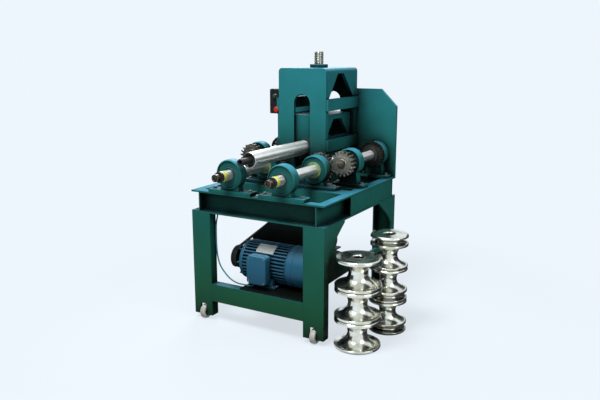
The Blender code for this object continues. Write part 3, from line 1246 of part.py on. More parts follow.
def add_cable(machine):
    """Lay the motor cable along its route as a tube with closed ends."""
    curve = bpy.data.curves.new("motor_cable", "CURVE")
    curve.dimensions = "3D"
    curve.bevel_depth = CABLE_DIAMETER / 2
    curve.bevel_resolution = 2
    curve.use_fill_caps = True
    spline = curve.splines.new("POLY")
    points = smooth_points(cable_route(), CABLE_STEPS)
    spline.points.add(len(points) - 1)
    for point, place in zip(spline.points, points):
        point.co = (*place, 1.0)
    curve.materials.append(finish_material("cable_sheath"))
    cable = bpy.data.objects.new("motor_cable", curve)
    cable.parent = machine
    bpy.context.scene.collection.objects.link(cable)


def groove(bottom, top, rim, waist, steps):
    """Points of (radius, height) down a rounded groove, without its two rim corners."""
    middle = (bottom + top) / 2
    return arc((rim, middle), (waist - rim, (top - bottom) / 2), 90, -90, steps)[1:-1]


def die_profile(height, rim, grooves, bottom):
    """Profile of a bending die; grooves lists (low, high, waist radius) from the top down."""
    top = bottom + height
    outside = [(rim - DIE_RIM_EDGE, top), (rim, top - DIE_RIM_EDGE)]
    for low, high, waist in grooves:
        outside += [(rim, bottom + high)]
        steps = 8 if high - low > rim / 2 else 4
        outside += groove(bottom + low, bottom + high, rim - DIE_RIM_EDGE / 2, waist, steps)
        outside += [(rim, bottom + low)]
    outside += [(rim, bottom + DIE_RIM_EDGE), (rim - DIE_RIM_EDGE, bottom)]
    return [(DIE_BORE_RADIUS, top)] + outside + [(DIE_BORE_RADIUS, bottom)]


def add_dies(machine):
    """Stand the two stacks of spare dies on the floor beside the table."""
    wide_grooves = [(WIDE_DIE_RIM, WIDE_DIE_HEIGHT - WIDE_DIE_RIM, WIDE_DIE_WAIST)]
    for level in range(STACK_COUNT):
        bottom = level * (WIDE_DIE_HEIGHT + SEAT_GAP)
        profile = die_profile(WIDE_DIE_HEIGHT, WIDE_DIE_RADIUS, wide_grooves, bottom)
        die = turned(profile, "Z", (WIDE_STACK_X, WIDE_STACK_Y))
        add_part(f"wide_groove_die_{level + 1}", die, "polished_steel", machine,
                 (WIDE_STACK_X, WIDE_STACK_Y, bottom))

    rim = TWIN_DIE_RIM
    shallow_low = TWIN_DIE_HEIGHT - rim - TWIN_DIE_SHALLOW_GROOVE
    shallow_top = (shallow_low, TWIN_DIE_HEIGHT - rim, TWIN_DIE_SHALLOW_WAIST)
    wide_below = (rim, shallow_low - rim, TWIN_DIE_WAIST)
    shallow_bottom = (rim, rim + TWIN_DIE_SHALLOW_GROOVE, TWIN_DIE_SHALLOW_WAIST)
    wide_above = (2 * rim + TWIN_DIE_SHALLOW_GROOVE, TWIN_DIE_HEIGHT - rim, TWIN_DIE_WAIST)
    for level in range(STACK_COUNT):
        bottom = level * (TWIN_DIE_HEIGHT + SEAT_GAP)
        on_top = level == STACK_COUNT - 1
        grooves = [shallow_top, wide_below] if on_top else [wide_above, shallow_bottom]
        profile = die_profile(TWIN_DIE_HEIGHT, TWIN_DIE_RADIUS, grooves, bottom)
        die = turned(profile, "Z", (TWIN_STACK_X, TWIN_STACK_Y))
        add_part(f"twin_groove_die_{level + 1}", die, "polished_steel", machine,
                 (TWIN_STACK_X, TWIN_STACK_Y, bottom))


def main():
    """Clear the scene and build the whole machine."""
    for existing in list(bpy.data.objects):
        bpy.data.objects.remove(existing)
    machine = bpy.data.objects.new("machine", None)
    machine.location = -Vector(MACHINE_MIDDLE)
    bpy.context.scene.collection.objects.link(machine)
    add_table(machine)
    add_legs(machine)
    add_lower_rails(machine)
    add_bearings(machine)
    add_rollers(machine)
    add_countershafts(machine)
    add_chains(machine)
    add_press_head(machine)
    add_carriage(machine)
    add_drive_shelf(machine)
    add_gearbox(machine)
    add_belt_drive(machine)
    add_motor(machine)
    add_control_box(machine)
    add_cable(machine)
    add_dies(machine)
    bpy.context.view_layer.update()


main()
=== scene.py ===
"""Electric pipe bending machine with three rollers, and two stacks of spare bending dies.

The machine is dressed piece by piece around its solid model. Sizes are in metres and, unless a
comment says otherwise, are laid out from the table's front left corner on the floor: X to the
right along the front, Y to the back and Z up. MachinePlace moves them to the model's own frame.
"""
import logging
import math
from dataclasses import dataclass, field
from enum import Enum
from typing import Iterable, Optional, Sequence

import bmesh
import bpy
import numpy as np
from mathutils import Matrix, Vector


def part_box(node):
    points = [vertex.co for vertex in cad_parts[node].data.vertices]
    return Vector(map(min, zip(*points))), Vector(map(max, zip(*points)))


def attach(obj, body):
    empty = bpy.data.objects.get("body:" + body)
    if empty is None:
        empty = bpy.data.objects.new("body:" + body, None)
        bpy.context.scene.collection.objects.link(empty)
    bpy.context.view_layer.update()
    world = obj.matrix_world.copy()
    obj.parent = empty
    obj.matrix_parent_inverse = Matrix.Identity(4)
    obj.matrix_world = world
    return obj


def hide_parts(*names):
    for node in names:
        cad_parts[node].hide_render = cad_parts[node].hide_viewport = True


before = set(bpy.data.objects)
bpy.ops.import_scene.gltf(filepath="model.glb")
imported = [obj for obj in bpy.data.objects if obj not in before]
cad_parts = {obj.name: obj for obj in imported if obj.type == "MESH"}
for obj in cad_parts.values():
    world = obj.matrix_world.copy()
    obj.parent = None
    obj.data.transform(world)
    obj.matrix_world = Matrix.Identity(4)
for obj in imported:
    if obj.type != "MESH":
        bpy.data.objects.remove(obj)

LOG = logging.getLogger("pipe_bender")
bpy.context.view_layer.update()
PHOTO_WIDTH = 600
MILLIMETRE = 0.001
CORE = 0.0005  # radius beside the axis where the profile of a solid bar ends
LID_SHARE = 0.985  # width of a box's lid against its case
BEVEL_SAMPLES = 4
HOLLOW_SAMPLES = 6

Tree = bpy.types.NodeTree
Node = bpy.types.Node
Socket = bpy.types.NodeSocket
Piece = bpy.types.Object
Point = Sequence[float]
Line = Sequence[Sequence[float]]


class Axis(Enum):
    """Direction that a bar, a plate or a hole runs along."""

    X = 0
    Y = 1
    Z = 2


class Side(Enum):
    """Side of the table, with the sign of its X direction from the middle."""

    LEFT = -1
    RIGHT = 1

    @property
    def word(self) -> str:
        """Name of the side as the solid model writes it."""
        return self.name.lower()


@dataclass(frozen=True)
class MachinePlace:
    """Where the table's front left corner stands in the model's frame."""

    corner: Vector = field(default_factory=lambda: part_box("table_front_channel")[0])

    def shift(self) -> np.ndarray:
        """Vector from the table's coordinates to the model's frame."""
        return np.array([self.corner.x, self.corner.y, 0.0])


PLACE = MachinePlace().shift()


def linear(hex_colour: str) -> tuple[float, float, float, float]:
    """Turn an sRGB colour such as #20624A to linear red, green, blue and alpha.

    Args:
        hex_colour: the colour as six hex digits after a hash.

    Returns:
        The four linear values, with an alpha of 1.
    """
    channels = [int(hex_colour[index:index + 2], 16) / 255 for index in (1, 3, 5)]
    values = [c / 12.92 if c <= 0.04045 else ((c + 0.055) / 1.055) ** 2.4 for c in channels]
    return (values[0], values[1], values[2], 1.0)


def add_node(tree: Tree, kind: str, settings: Optional[dict] = None,
             values: Optional[dict] = None, links: Optional[dict] = None) -> Node:
    """Add a node to a tree with its settings, socket values and incoming links.

    Args:
        tree: the node tree that takes the node.
        kind: the node's type name.
        settings: properties of the node by name.
        values: default values by input socket name or number.
        links: output sockets by the input socket name or number that they feed.

    Returns:
        The new node.
    """
    node = tree.nodes.new(kind)
    for name, value in (settings or {}).items():
        setattr(node, name, value)
    for socket, value in (values or {}).items():
        node.inputs[socket].default_value = value
    for socket, source in (links or {}).items():
        tree.links.new(source, node.inputs[socket])
    return node


@dataclass(frozen=True)
class Finish:
    """A surface finish: a named material whose colour, gloss and relief come from nodes."""

    name: str

    def material(self) -> bpy.types.Material:
        """Give the finish's material, made on its first use.

        Returns:
            The material.
        """
        material = bpy.data.materials.get(self.name)
        if material is None:
            material = bpy.data.materials.new(self.name)
            material.use_nodes = True
            tree = material.node_tree
            tree.nodes.clear()
            shader = add_node(tree, "ShaderNodeBsdfPrincipled")
            output = add_node(tree, "ShaderNodeOutputMaterial",
                              links={"Surface": shader.outputs["BSDF"]})
            output.is_active_output = True
            self.build(tree, shader)
        return material

    def build(self, tree: Tree, shader: Node) -> None:
        """Add the finish's own nodes to the shader."""
        raise NotImplementedError

    def noise(self, tree: Tree, feature_mm: float, stretch: Point = (1, 1, 1),
              detail: float = 3.0) -> Socket:
        """Lay a cloudy pattern on object coordinates.

        Args:
            tree: the material's node tree.
            feature_mm: about how wide its features are.
            stretch: factors on the three coordinates.
            detail: number of finer layers in it.

        Returns:
            The pattern, from 0 to 1.
        """
        place = add_node(tree, "ShaderNodeTexCoord")
        turn = add_node(tree, "ShaderNodeMapping", links={"Vector": place.outputs["Object"]},
                        values={"Scale": Vector(stretch)})
        pattern = add_node(tree, "ShaderNodeTexNoise", links={"Vector": turn.outputs["Vector"]},
                           values={"Scale": 1.0 / (feature_mm * MILLIMETRE), "Detail": detail,
                                   "Roughness": 0.55})
        return pattern.outputs["Fac"]

    def spread(self, tree: Tree, source: Socket, low: float, high: float,
               start: float = 0.3, end: float = 0.7) -> Socket:
        """Map a pattern's middle range to values from low to high.

        Args:
            tree: the material's node tree.
            source: the pattern.
            low: value where the range starts.
            high: value where the range ends.
            start: the pattern's value where the range starts.
            end: the pattern's value where it ends.

        Returns:
            The mapped values.
        """
        ranged = add_node(tree, "ShaderNodeMapRange", links={"Value": source},
                          values={"From Min": start, "From Max": end, "To Min": low,
                                  "To Max": high})
        return ranged.outputs["Result"]

    def blend(self, tree: Tree, share: Socket, first: object, second: object) -> Socket:
        """Mix two colours, each a hex colour or a socket.

        Args:
            tree: the material's node tree.
            share: the second colour's share, from 0 to 1.
            first: the colour at 0.
            second: the colour at 1.

        Returns:
            The mixed colour.
        """
        mixer = add_node(tree, "ShaderNodeMix", settings={"data_type": "RGBA"},
                         links={0: share})
        for socket, colour in ((6, first), (7, second)):
            if isinstance(colour, str):
                mixer.inputs[socket].default_value = linear(colour)
            else:
                tree.links.new(colour, mixer.inputs[socket])
        return mixer.outputs[2]

    def hollows(self, tree: Tree, reach_mm: float, share: float, start: float,
                end: float) -> Socket:
        """Find the places that little light reaches.

        Args:
            tree: the material's node tree.
            reach_mm: how far off another surface still shades a place.
            share: value in the deepest hollows.
            start: openness up to which the value is the share.
            end: openness from which the value is 0.

        Returns:
            The value at each place.
        """
        open_sky = add_node(tree, "ShaderNodeAmbientOcclusion",
                            settings={"samples": HOLLOW_SAMPLES},
                            values={"Distance": reach_mm * MILLIMETRE})
        return self.spread(tree, open_sky.outputs["AO"], share, 0.0, start, end)

    def bumped(self, tree: Tree, height: Socket, strength: float, depth_mm: float,
               edge_mm: float = 0.0) -> Socket:
        """Raise a pattern from the surface, whose edges may be rounded.

        Args:
            tree: the material's node tree.
            height: the pattern.
            strength: how strongly it shows.
            depth_mm: its height.
            edge_mm: radius of the rounded edges, or 0 for none.

        Returns:
            The surface's normal.
        """
        links = {"Height": height}
        if edge_mm:
            rounded = add_node(tree, "ShaderNodeBevel", settings={"samples": BEVEL_SAMPLES},
                               values={"Radius": edge_mm * MILLIMETRE})
            links["Normal"] = rounded.outputs["Normal"]
        bump = add_node(tree, "ShaderNodeBump", links=links,
                        values={"Strength": strength, "Distance": depth_mm * MILLIMETRE})
        return bump.outputs["Normal"]

    def feed(self, tree: Tree, shader: Node, colour: Socket, gloss: Socket,
             normal: Socket) -> None:
        """Lead the patterns into the shader.

        Args:
            tree: the material's node tree.
            shader: its shader.
            colour: the base colour.
            gloss: the roughness.
            normal: the surface's normal.
        """
        for name, source in (("Base Color", colour), ("Roughness", gloss), ("Normal", normal)):
            tree.links.new(source, shader.inputs[name])


@dataclass(frozen=True)
class Enamel(Finish):
    """Machine enamel: alkyd paint brushed and sprayed on steel, cured hard.

    The eye sees a deep colour with a quiet gloss, soft orange peel in the highlights, slightly
    uneven coats, painted light and shade by height, a painted pale sky sheen with some dust where
    the surface faces up, painted near-black shade in the hollows, and rounded edges.
    """

    # the paint is drawn darker and greener low down and lighter and bluer high up, as painted
    # light and shade
    low_colour: str
    high_colour: str
    # pale blue blend on up-facing faces: a painted sky sheen, with some dust
    dust_and_sheen_colour: str
    dust_and_sheen_share: float
    # painted shade: how far off another surface still darkens a place, and how dark the deepest
    # hollows are drawn
    hollow_mm: float = 220.0
    hollow_share: float = 0.97
    roughness: float = 0.36
    edge_mm: float = 1.6
    peel_mm: float = 3.5
    fade_top: float = 1.30
    fade_foot: float = 0.15
    coat_colour: str = "#0F3A33"
    # colour of the near-black painted shade in the hollows
    painted_shade_colour: str = "#0B0D0A"
    coat_mm: float = 140.0
    patch_mm: float = 60.0
    gloss_mm: float = 45.0

    def build(self, tree: Tree, shader: Node) -> None:
        """Build the paint's colour with painted light and shade by height, its coats, its painted
        sky sheen and dust, its painted shade in the hollows, its gloss and its peel.

        Args:
            tree: the material's node tree.
            shader: its shader.
        """
        geometry = add_node(tree, "ShaderNodeNewGeometry")
        place = add_node(tree, "ShaderNodeTexCoord")
        height = add_node(tree, "ShaderNodeSeparateXYZ", links={"Vector": place.outputs["Object"]})
        # painted light and shade by height: from the darker low colour at the foot to the lighter
        # high colour at the top
        rise = self.spread(tree, height.outputs["Z"], 0.0, 1.0, self.fade_foot, self.fade_top)
        base = self.blend(tree, rise, self.low_colour, self.high_colour)
        cloud = self.spread(tree, self.noise(tree, self.coat_mm), 0.0, 0.16)
        coats = self.blend(tree, cloud, base, self.coat_colour)
        # painted sky sheen with some dust: faces that look up are blended in patches towards the
        # pale blue colour
        facing = add_node(tree, "ShaderNodeSeparateXYZ",
                          links={"Vector": geometry.outputs["Normal"]})
        upward = self.spread(tree, facing.outputs["Z"], 0.0, self.dust_and_sheen_share, 0.35, 0.9)
        patches = self.spread(tree, self.noise(tree, self.patch_mm), 0.75, 1.0)
        film = add_node(tree, "ShaderNodeMath", settings={"operation": "MULTIPLY"},
                        links={0: upward, 1: patches})
        dust_and_sheen = self.blend(tree, film.outputs["Value"], coats, self.dust_and_sheen_colour)
        # painted shade: the paint darkens to near black where ambient occlusion finds other
        # surfaces close by
        painted_shade = self.hollows(tree, self.hollow_mm, self.hollow_share, 0.50, 0.90)
        colour = self.blend(tree, painted_shade, dust_and_sheen, self.painted_shade_colour)
        gloss = self.spread(tree, self.noise(tree, self.gloss_mm), self.roughness - 0.06,
                            self.roughness + 0.08)
        shader.inputs["Specular IOR Level"].default_value = 0.10
        peel = self.noise(tree, self.peel_mm, detail=2.0)
        self.feed(tree, shader, colour, gloss, self.bumped(tree, peel, 0.12, 0.4, self.edge_mm))


@dataclass(frozen=True)
class TurnedSteel(Finish):
    """Steel bar turned or ground bright, with a thin oil film.

    The eye sees bright metal whose highlights spread across fine rings round the lathe's axis,
    and faint yellow-green patches of oil. Real lathe marks are 0.1 mm apart: they are drawn
    0.9 mm apart, to show.
    """

    colour: str
    oil_colour: str
    oil_share: float
    axis: Axis
    roughness: float = 0.16
    ring_mm: float = 0.9
    spread_share: float = 0.8
    # painted shade: how dark the hollows, grooves and bore, are drawn, and in what colour
    hollow_shade_share: float = 0.0
    grease_colour: str = "#10110C"
    patch_mm: float = 55.0
    hollow_mm: float = 70.0
    across_share: float = 0.02

    def build(self, tree: Tree, shader: Node) -> None:
        """Build the rings, the oil patches, the near-black painted shade in the hollows and the
        gloss.

        Args:
            tree: the material's node tree.
            shader: its shader.
        """
        stretch = [self.across_share] * 3
        stretch[self.axis.value] = 1.0
        rings = self.noise(tree, self.ring_mm, stretch, detail=2.0)
        patches = self.spread(tree, self.noise(tree, self.patch_mm), 0.0, self.oil_share)
        oiled = self.blend(tree, patches, self.colour, self.oil_colour)
        # painted shade: the steel darkens to near black where ambient occlusion finds a hollow
        grease = self.hollows(tree, self.hollow_mm, self.hollow_shade_share, 0.15, 0.75)
        colour = self.blend(tree, grease, oiled, self.grease_colour)
        shader.inputs["Metallic"].default_value = 1.0
        shader.inputs["Anisotropic"].default_value = self.spread_share
        shader.inputs["Anisotropic Rotation"].default_value = 0.25
        round_axis = add_node(tree, "ShaderNodeTangent",
                              settings={"direction_type": "RADIAL", "axis": self.axis.name})
        tree.links.new(round_axis.outputs["Tangent"], shader.inputs["Tangent"])
        gloss = self.spread(tree, rings, self.roughness - 0.04, self.roughness + 0.07)
        self.feed(tree, shader, colour, gloss, self.bumped(tree, rings, 0.06, 0.1))


@dataclass(frozen=True)
class WorkedMetal(Finish):
    """Milled, cast or blackened metal with an even grain and grease in its low places.

    The eye sees a satin metal, darker grease blotches a few centimetres across and a fine grain.
    """

    colour: str
    grease_colour: str
    metallic: float
    roughness: float
    grain_mm: float = 1.5
    grease_mm: float = 22.0
    relief: float = 0.15
    gloss_mm: float = 12.0
    edge_mm: float = 0.8

    def build(self, tree: Tree, shader: Node) -> None:
        """Build the grease blotches, the grain and the gloss.

        Args:
            tree: the material's node tree.
            shader: its shader.
        """
        blotches = self.spread(tree, self.noise(tree, self.grease_mm), 0.0, 0.8)
        colour = self.blend(tree, blotches, self.colour, self.grease_colour)
        shader.inputs["Metallic"].default_value = self.metallic
        gloss = self.spread(tree, self.noise(tree, self.gloss_mm), self.roughness - 0.08,
                            self.roughness + 0.10)
        grain = self.noise(tree, self.grain_mm)
        self.feed(tree, shader, colour, gloss,
                  self.bumped(tree, grain, self.relief, 0.3, self.edge_mm))


@dataclass(frozen=True)
class Moulded(Finish):
    """Moulded plastic or rubber with a fine even texture.

    The eye sees one colour with soft wear and dust, and a matt or silky surface.
    """

    colour: str
    worn_colour: str
    roughness: float
    texture_mm: float = 1.2
    relief: float = 0.1
    wear_mm: float = 30.0
    wear_share: float = 0.5
    gloss_mm: float = 9.0

    def build(self, tree: Tree, shader: Node) -> None:
        """Build the wear, the texture and the gloss.

        Args:
            tree: the material's node tree.
            shader: its shader.
        """
        wear = self.spread(tree, self.noise(tree, self.wear_mm), 0.0, self.wear_share)
        colour = self.blend(tree, wear, self.colour, self.worn_colour)
        gloss = self.spread(tree, self.noise(tree, self.gloss_mm), self.roughness - 0.05,
                            self.roughness + 0.08)
        texture = self.noise(tree, self.texture_mm)
        self.feed(tree, shader, colour, gloss, self.bumped(tree, texture, self.relief, 0.2))


# each enamel's low and high colours are painted light and shade by height; the third colour is its
# painted sky sheen with dust
GREEN_ENAMEL = Enamel("green_machine_enamel", "#1A5A3C", "#26757C", "#489CBD", 0.70)
# near-black enamel as painted shade for the drive shelf under the table, which is green enamel in
# the solid model
PAINTED_SHADE_BLACK = Enamel("near_black_painted_shade_enamel", "#0C1513", "#101C1A", "#14211F", 0.40)
BLUE_ENAMEL = Enamel("blue_motor_enamel", "#16394F", "#33708F", "#6CA6C6", 0.60, hollow_mm=26.0,
                     edge_mm=1.0, fade_top=0.42, roughness=0.30)
# the dies' grooves and bore are drawn near black as painted shade
CHROMED_STEEL = TurnedSteel("polished_die_steel", "#F4F4EE", "#A8AA7C", 0.50, Axis.Z, 0.17,
                            spread_share=0.35, hollow_shade_share=0.97)
GROUND_BAR = TurnedSteel("ground_shaft_steel", "#F0F0EC", "#C4C6B0", 0.30, Axis.Y, 0.36)
SCREW_STEEL = TurnedSteel("cut_screw_steel", "#B4B4A8", "#6E7062", 0.8, Axis.Z, 0.26)
GEAR_STEEL = WorkedMetal("oiled_gear_steel", "#A8A69C", "#5E5B50", 1.0, 0.40)
BLACK_STEEL = WorkedMetal("blackened_steel", "#1A1B1C", "#0A0A0A", 0.65, 0.40)
OILED_STEEL = WorkedMetal("dark_oiled_steel", "#8A8074", "#3A352E", 1.0, 0.30)
BOLT_STEEL = WorkedMetal("zinc_plated_bolt", "#9AA09C", "#4A4E4A", 1.0, 0.30)
CAST_IRON = WorkedMetal("painted_cast_iron", "#24523F", "#15352A", 0.0, 0.52, 2.5, relief=0.4)
CHAIN_STEEL = WorkedMetal("greased_chain_steel", "#3A3B39", "#0C0C0B", 0.9, 0.36)
SEAL_RUBBER = Moulded("bearing_seal_rubber", "#121313", "#2A2B28", 0.50)
BELT_RUBBER = Moulded("black_belt_rubber", "#111112", "#222221", 0.75, relief=0.3)
TREAD_RUBBER = Moulded("grey_wheel_rubber", "#C4C4BC", "#7F7F76", 0.68, relief=0.2)
BLACK_ABS = Moulded("black_abs", "#101012", "#1D1D1F", 0.38)
RED_ABS = Moulded("red_button_plastic", "#C8301E", "#A02818", 0.30)
GREEN_ABS = Moulded("green_button_plastic", "#1F4A33", "#12301F", 0.30)
BEARING_GREASE = Moulded("yellow_bearing_grease", "#8F9F60", "#2E5C48", 0.30, 3.0, 0.5, 14.0, 0.9)
CABLE_PVC = Moulded("cable_sheath_pvc", "#2C7F8C", "#1C5560", 0.45)
YELLOW_TAPE = Moulded("yellow_marking_band", "#E4DC2E", "#A8A42A", 0.42)
PLATE_ALUMINIUM = Moulded("printed_aluminium_plate", "#E8EEEA", "#B9C4C0", 0.35, 6.0, 0.02)


@dataclass
class Shell:
    """Closed surface as corners and faces, ready to be joined with others."""

    corners: np.ndarray
    faces: list

    def spun(self, axis: Axis, angle: float, place: Point) -> "Shell":
        """Turn the shell about an axis, then move it across the axis.

        A point (p, q) across the axis goes to place + (p cos a - q sin a, p sin a + q cos a).

        Args:
            axis: direction of the axis, which runs through the origin.
            angle: angle of the turn.
            place: where the origin goes, across the axis.

        Returns:
            The turned shell.
        """
        first, second = (number for number in range(3) if number != axis.value)
        p, q = self.corners[:, first], self.corners[:, second]
        corners = self.corners.copy()
        corners[:, first] = place[0] + p * math.cos(angle) - q * math.sin(angle)
        corners[:, second] = place[1] + p * math.sin(angle) + q * math.cos(angle)
        return Shell(corners, self.faces)


def merged(shells: Iterable[Shell]) -> Shell:
    """Put several shells side by side in one.

    Args:
        shells: the shells, in order.

    Returns:
        A shell with every corner and face.
    """
    corners, faces, count = [], [], 0
    for shell in shells:
        corners.append(shell.corners)
        faces += [[corner + count for corner in face] for face in shell.faces]
        count += len(shell.corners)
    return Shell(np.concatenate(corners), faces)


def grid_shell(grid: np.ndarray, loop_rows: bool = False) -> Shell:
    """Skin a grid of points whose columns close on themselves.

    Each quad joins a point, its neighbour in the row and the two below. The first and last rows
    are closed by flat caps, unless the rows close on themselves too.

    Args:
        grid: points as rows, columns and coordinates.
        loop_rows: whether the last row joins the first.

    Returns:
        The closed shell.
    """
    rows, columns = grid.shape[:2]
    index = np.arange(rows * columns).reshape(rows, columns)
    lower = np.roll(index, -1, 0) if loop_rows else index[1:]
    upper = index if loop_rows else index[:-1]
    quads = np.stack([upper, np.roll(upper, -1, 1), np.roll(lower, -1, 1), lower], -1)
    faces = quads.reshape(-1, 4).tolist()
    if not loop_rows:
        faces += [index[0][::-1].tolist(), index[-1].tolist()]
    return Shell(grid.reshape(-1, 3), faces)


def along_axis(first: np.ndarray, second: np.ndarray, along: np.ndarray,
               axis: Axis) -> np.ndarray:
    """Order two coordinates across an axis and the one along it as x, y and z.

    Args:
        first: the first coordinate across the axis.
        second: the second one across it.
        along: the coordinate along it.
        axis: direction of the axis.

    Returns:
        The points.
    """
    parts = {Axis.X: (along, first, second), Axis.Y: (first, along, second),
             Axis.Z: (first, second, along)}[axis]
    return np.stack(np.broadcast_arrays(*parts), -1)


def eased(points: Line, radius: float, closed: bool = False,
          steps: int = 4) -> np.ndarray:
    """Round the corners of a flat line with parabolas.

    Each corner becomes (1-t)^2 A + 2t(1-t) B + t^2 C, where B is the corner and A and C lie
    the radius before and after it, or a little under half the side where that is shorter.

    Args:
        points: the line's corners.
        radius: length cut back from each corner.
        closed: whether the last point joins the first.
        steps: spans in each rounded corner.

    Returns:
        The rounded line's points.
    """
    middle = np.asarray(points, float)
    before = np.roll(middle, 1, 0) - middle
    after = np.roll(middle, -1, 0) - middle
    before_length = np.linalg.norm(before, axis=1, keepdims=True)
    after_length = np.linalg.norm(after, axis=1, keepdims=True)
    cut = np.minimum(radius, 0.45 * np.minimum(before_length, after_length))
    start = middle + before / before_length * cut
    end = middle + after / after_length * cut
    t = np.linspace(0, 1, steps + 1)[None, :, None]
    curve = ((1 - t) ** 2 * start[:, None] + 2 * t * (1 - t) * middle[:, None]
             + t ** 2 * end[:, None])
    if closed:
        return curve.reshape(-1, 2)
    return np.concatenate([middle[:1], curve[1:-1].reshape(-1, 2), middle[-1:]])


def turned(profile: np.ndarray, axis: Axis, centre: Point, loop: bool = False,
           sides: int = 96) -> Shell:
    """Turn a profile about an axis.

    A point at angle a is (centre + radius cos a, centre + radius sin a, place along the axis).

    Args:
        profile: rows of radius and place along the axis.
        axis: direction of the axis.
        centre: the axis's two coordinates across its direction.
        loop: whether the profile closes on itself round a bore.
        sides: steps round the axis.

    Returns:
        The closed shell.
    """
    profile = np.asarray(profile, float)
    angle = 2 * math.pi * np.arange(sides) / sides
    first = centre[0] + profile[:, :1] * np.cos(angle)
    second = centre[1] + profile[:, :1] * np.sin(angle)
    grid = along_axis(first, second, profile[:, 1:2] + 0 * first, axis)
    return grid_shell(grid, loop)


def bar(steps: Line, axis: Axis, centre: Point,
        ease: float = 0.0012, sides: int = 96) -> Shell:
    """Turn a stepped bar with eased edges.

    Args:
        steps: radius, start and end of each step.
        axis: direction of its axis.
        centre: the axis's two coordinates across its direction.
        ease: length cut back from each edge.
        sides: steps round the axis.

    Returns:
        The closed shell.
    """
    corners = [(CORE, steps[0][1])]
    for radius, start, end in steps:
        corners += [(radius, start), (radius, end)]
    corners.append((CORE, steps[-1][2]))
    return turned(eased(corners, ease), axis, centre, sides=sides)


def ring(outer: float, inner: float, low: float, high: float, axis: Axis,
         centre: Point, ease: float = 0.001, sides: int = 96) -> Shell:
    """Turn a plain ring with eased edges.

    Args:
        outer: its outer radius.
        inner: its bore's radius.
        low: its start along the axis.
        high: its end along the axis.
        axis: direction of its axis.
        centre: the axis's two coordinates across its direction.
        ease: length cut back from each edge.
        sides: steps round the axis.

    Returns:
        The closed shell.
    """
    corners = [(inner, low), (outer, low), (outer, high), (inner, high)]
    return turned(eased(corners, ease, closed=True), axis, centre, True, sides)


def slab(outline: np.ndarray, axis: Axis, low: float, high: float) -> Shell:
    """Carry a flat closed outline along an axis.

    Args:
        outline: the outline's points, in order.
        axis: direction of the axis.
        low: its start along the axis.
        high: its end along the axis.

    Returns:
        The closed shell.
    """
    outline = np.asarray(outline, float)
    along = np.array([[low], [high]])
    grid = along_axis(outline[None, :, 0] + 0 * along, outline[None, :, 1] + 0 * along,
                      along + 0 * outline[None, :, 0], axis)
    return grid_shell(grid)


def block(x: Point, y: Point, z: Point) -> Shell:
    """Make a block, each argument being its two ends along that axis."""
    outline = [(x[0], y[0]), (x[1], y[0]), (x[1], y[1]), (x[0], y[1])]
    return slab(np.array(outline), Axis.Z, z[0], z[1])


def tube(path: np.ndarray, radii: np.ndarray, sides: int = 12) -> Shell:
    """Carry a circle along a path, turned square to it at each point.

    Args:
        path: the centreline's points.
        radii: the tube's radius at each point.
        sides: steps round the tube.

    Returns:
        The closed shell with flat ends.
    """
    heading = np.gradient(path, axis=0)
    heading /= np.linalg.norm(heading, axis=1, keepdims=True)
    off_every_path = np.array([0.31, 0.42, 0.85])
    across = np.cross(heading, off_every_path)
    across /= np.linalg.norm(across, axis=1, keepdims=True)
    upward = np.cross(across, heading)
    angle = 2 * math.pi * np.arange(sides) / sides
    circle = (across[:, None] * np.cos(angle)[None, :, None]
              + upward[:, None] * np.sin(angle)[None, :, None])
    return grid_shell(path[:, None] + circle * np.asarray(radii)[:, None, None])


def weld_bead(start: Point, end: Point, size: float = 0.0045) -> Shell:
    """Lay a weld bead along a straight seam, rippled once for each pulse of the arc.

    The radius is size times 1 + 0.12 cos(2 pi s / ripple), with s the way along the seam.

    Args:
        start: the seam's start.
        end: the seam's end.
        size: the bead's radius.

    Returns:
        The closed shell.
    """
    start, end = np.asarray(start, float), np.asarray(end, float)
    length = float(np.linalg.norm(end - start))
    ripple = 0.008
    count = max(8, int(length / ripple * 4))
    way = np.linspace(0, 1, count)
    radii = size * (1 + 0.12 * np.cos(2 * math.pi * way * length / ripple))
    radii *= np.clip(np.minimum(way, 1 - way) * length / (2 * size) + 0.35, 0, 1)
    return tube(start + (end - start) * way[:, None], radii, 8)


def hex_bolt(place: Point, axis: Axis, sign: float, size: float) -> Shell:
    """Make a hexagon bolt head on its washer.

    Args:
        place: the middle of the washer's foot.
        axis: direction of the bolt.
        sign: 1 where the head stands up along the axis, -1 where it stands down.
        size: half the head's width.

    Returns:
        The head and its washer.
    """
    across = [value for number, value in enumerate(place) if number != axis.value]
    base = place[axis.value]
    head = np.array([(CORE, 0.25), (1.12, 0.25), (1.15, 0.30), (1.15, 0.85), (0.98, 1.0),
                     (CORE, 1.0)]) * size
    washer = np.array([(CORE, 0.0), (1.5, 0.0), (1.5, 0.22), (CORE, 0.25)]) * size
    shells = []
    for profile, sides in ((washer, 32), (head, 6)):
        profile[:, 1] = base + sign * profile[:, 1]
        shells.append(turned(profile, axis, across, sides=sides))
    return merged(shells)


def lidded_box(x: Point, z: Point, radius: float, steps: int, case: Point, lid: Point) -> Shell:
    """Make a box with round corners and its slightly smaller lid, both carried along Y.

    Args:
        x: its two sides.
        z: its foot and top.
        radius: length cut back from each corner.
        steps: spans in each rounded corner.
        case: start and end of the case.
        lid: start and end of the lid.

    Returns:
        The case and the lid.
    """
    corners = [(x[0], z[0]), (x[1], z[0]), (x[1], z[1]), (x[0], z[1])]
    outline = eased(corners, radius, True, steps)
    middle = np.array([(x[0] + x[1]) / 2, (z[0] + z[1]) / 2])
    cover = middle + (outline - middle) * LID_SHARE
    return merged([slab(outline, Axis.Y, *case), slab(cover, Axis.Y, *lid)])


def corner_screws(x: Point, z: Point, inset: float, face: float, size: float) -> list[Shell]:
    """Set a screw head in each corner of a box's lid.

    Args:
        x: the box's two sides.
        z: its foot and top.
        inset: distance of the screws from them.
        face: the lid's face in Y.
        size: half a head's width.

    Returns:
        The four heads.
    """
    return [hex_bolt((across, face, height), Axis.Y, -1, size)
            for across in (x[0] + inset, x[1] - inset) for height in (z[0] + inset, z[1] - inset)]


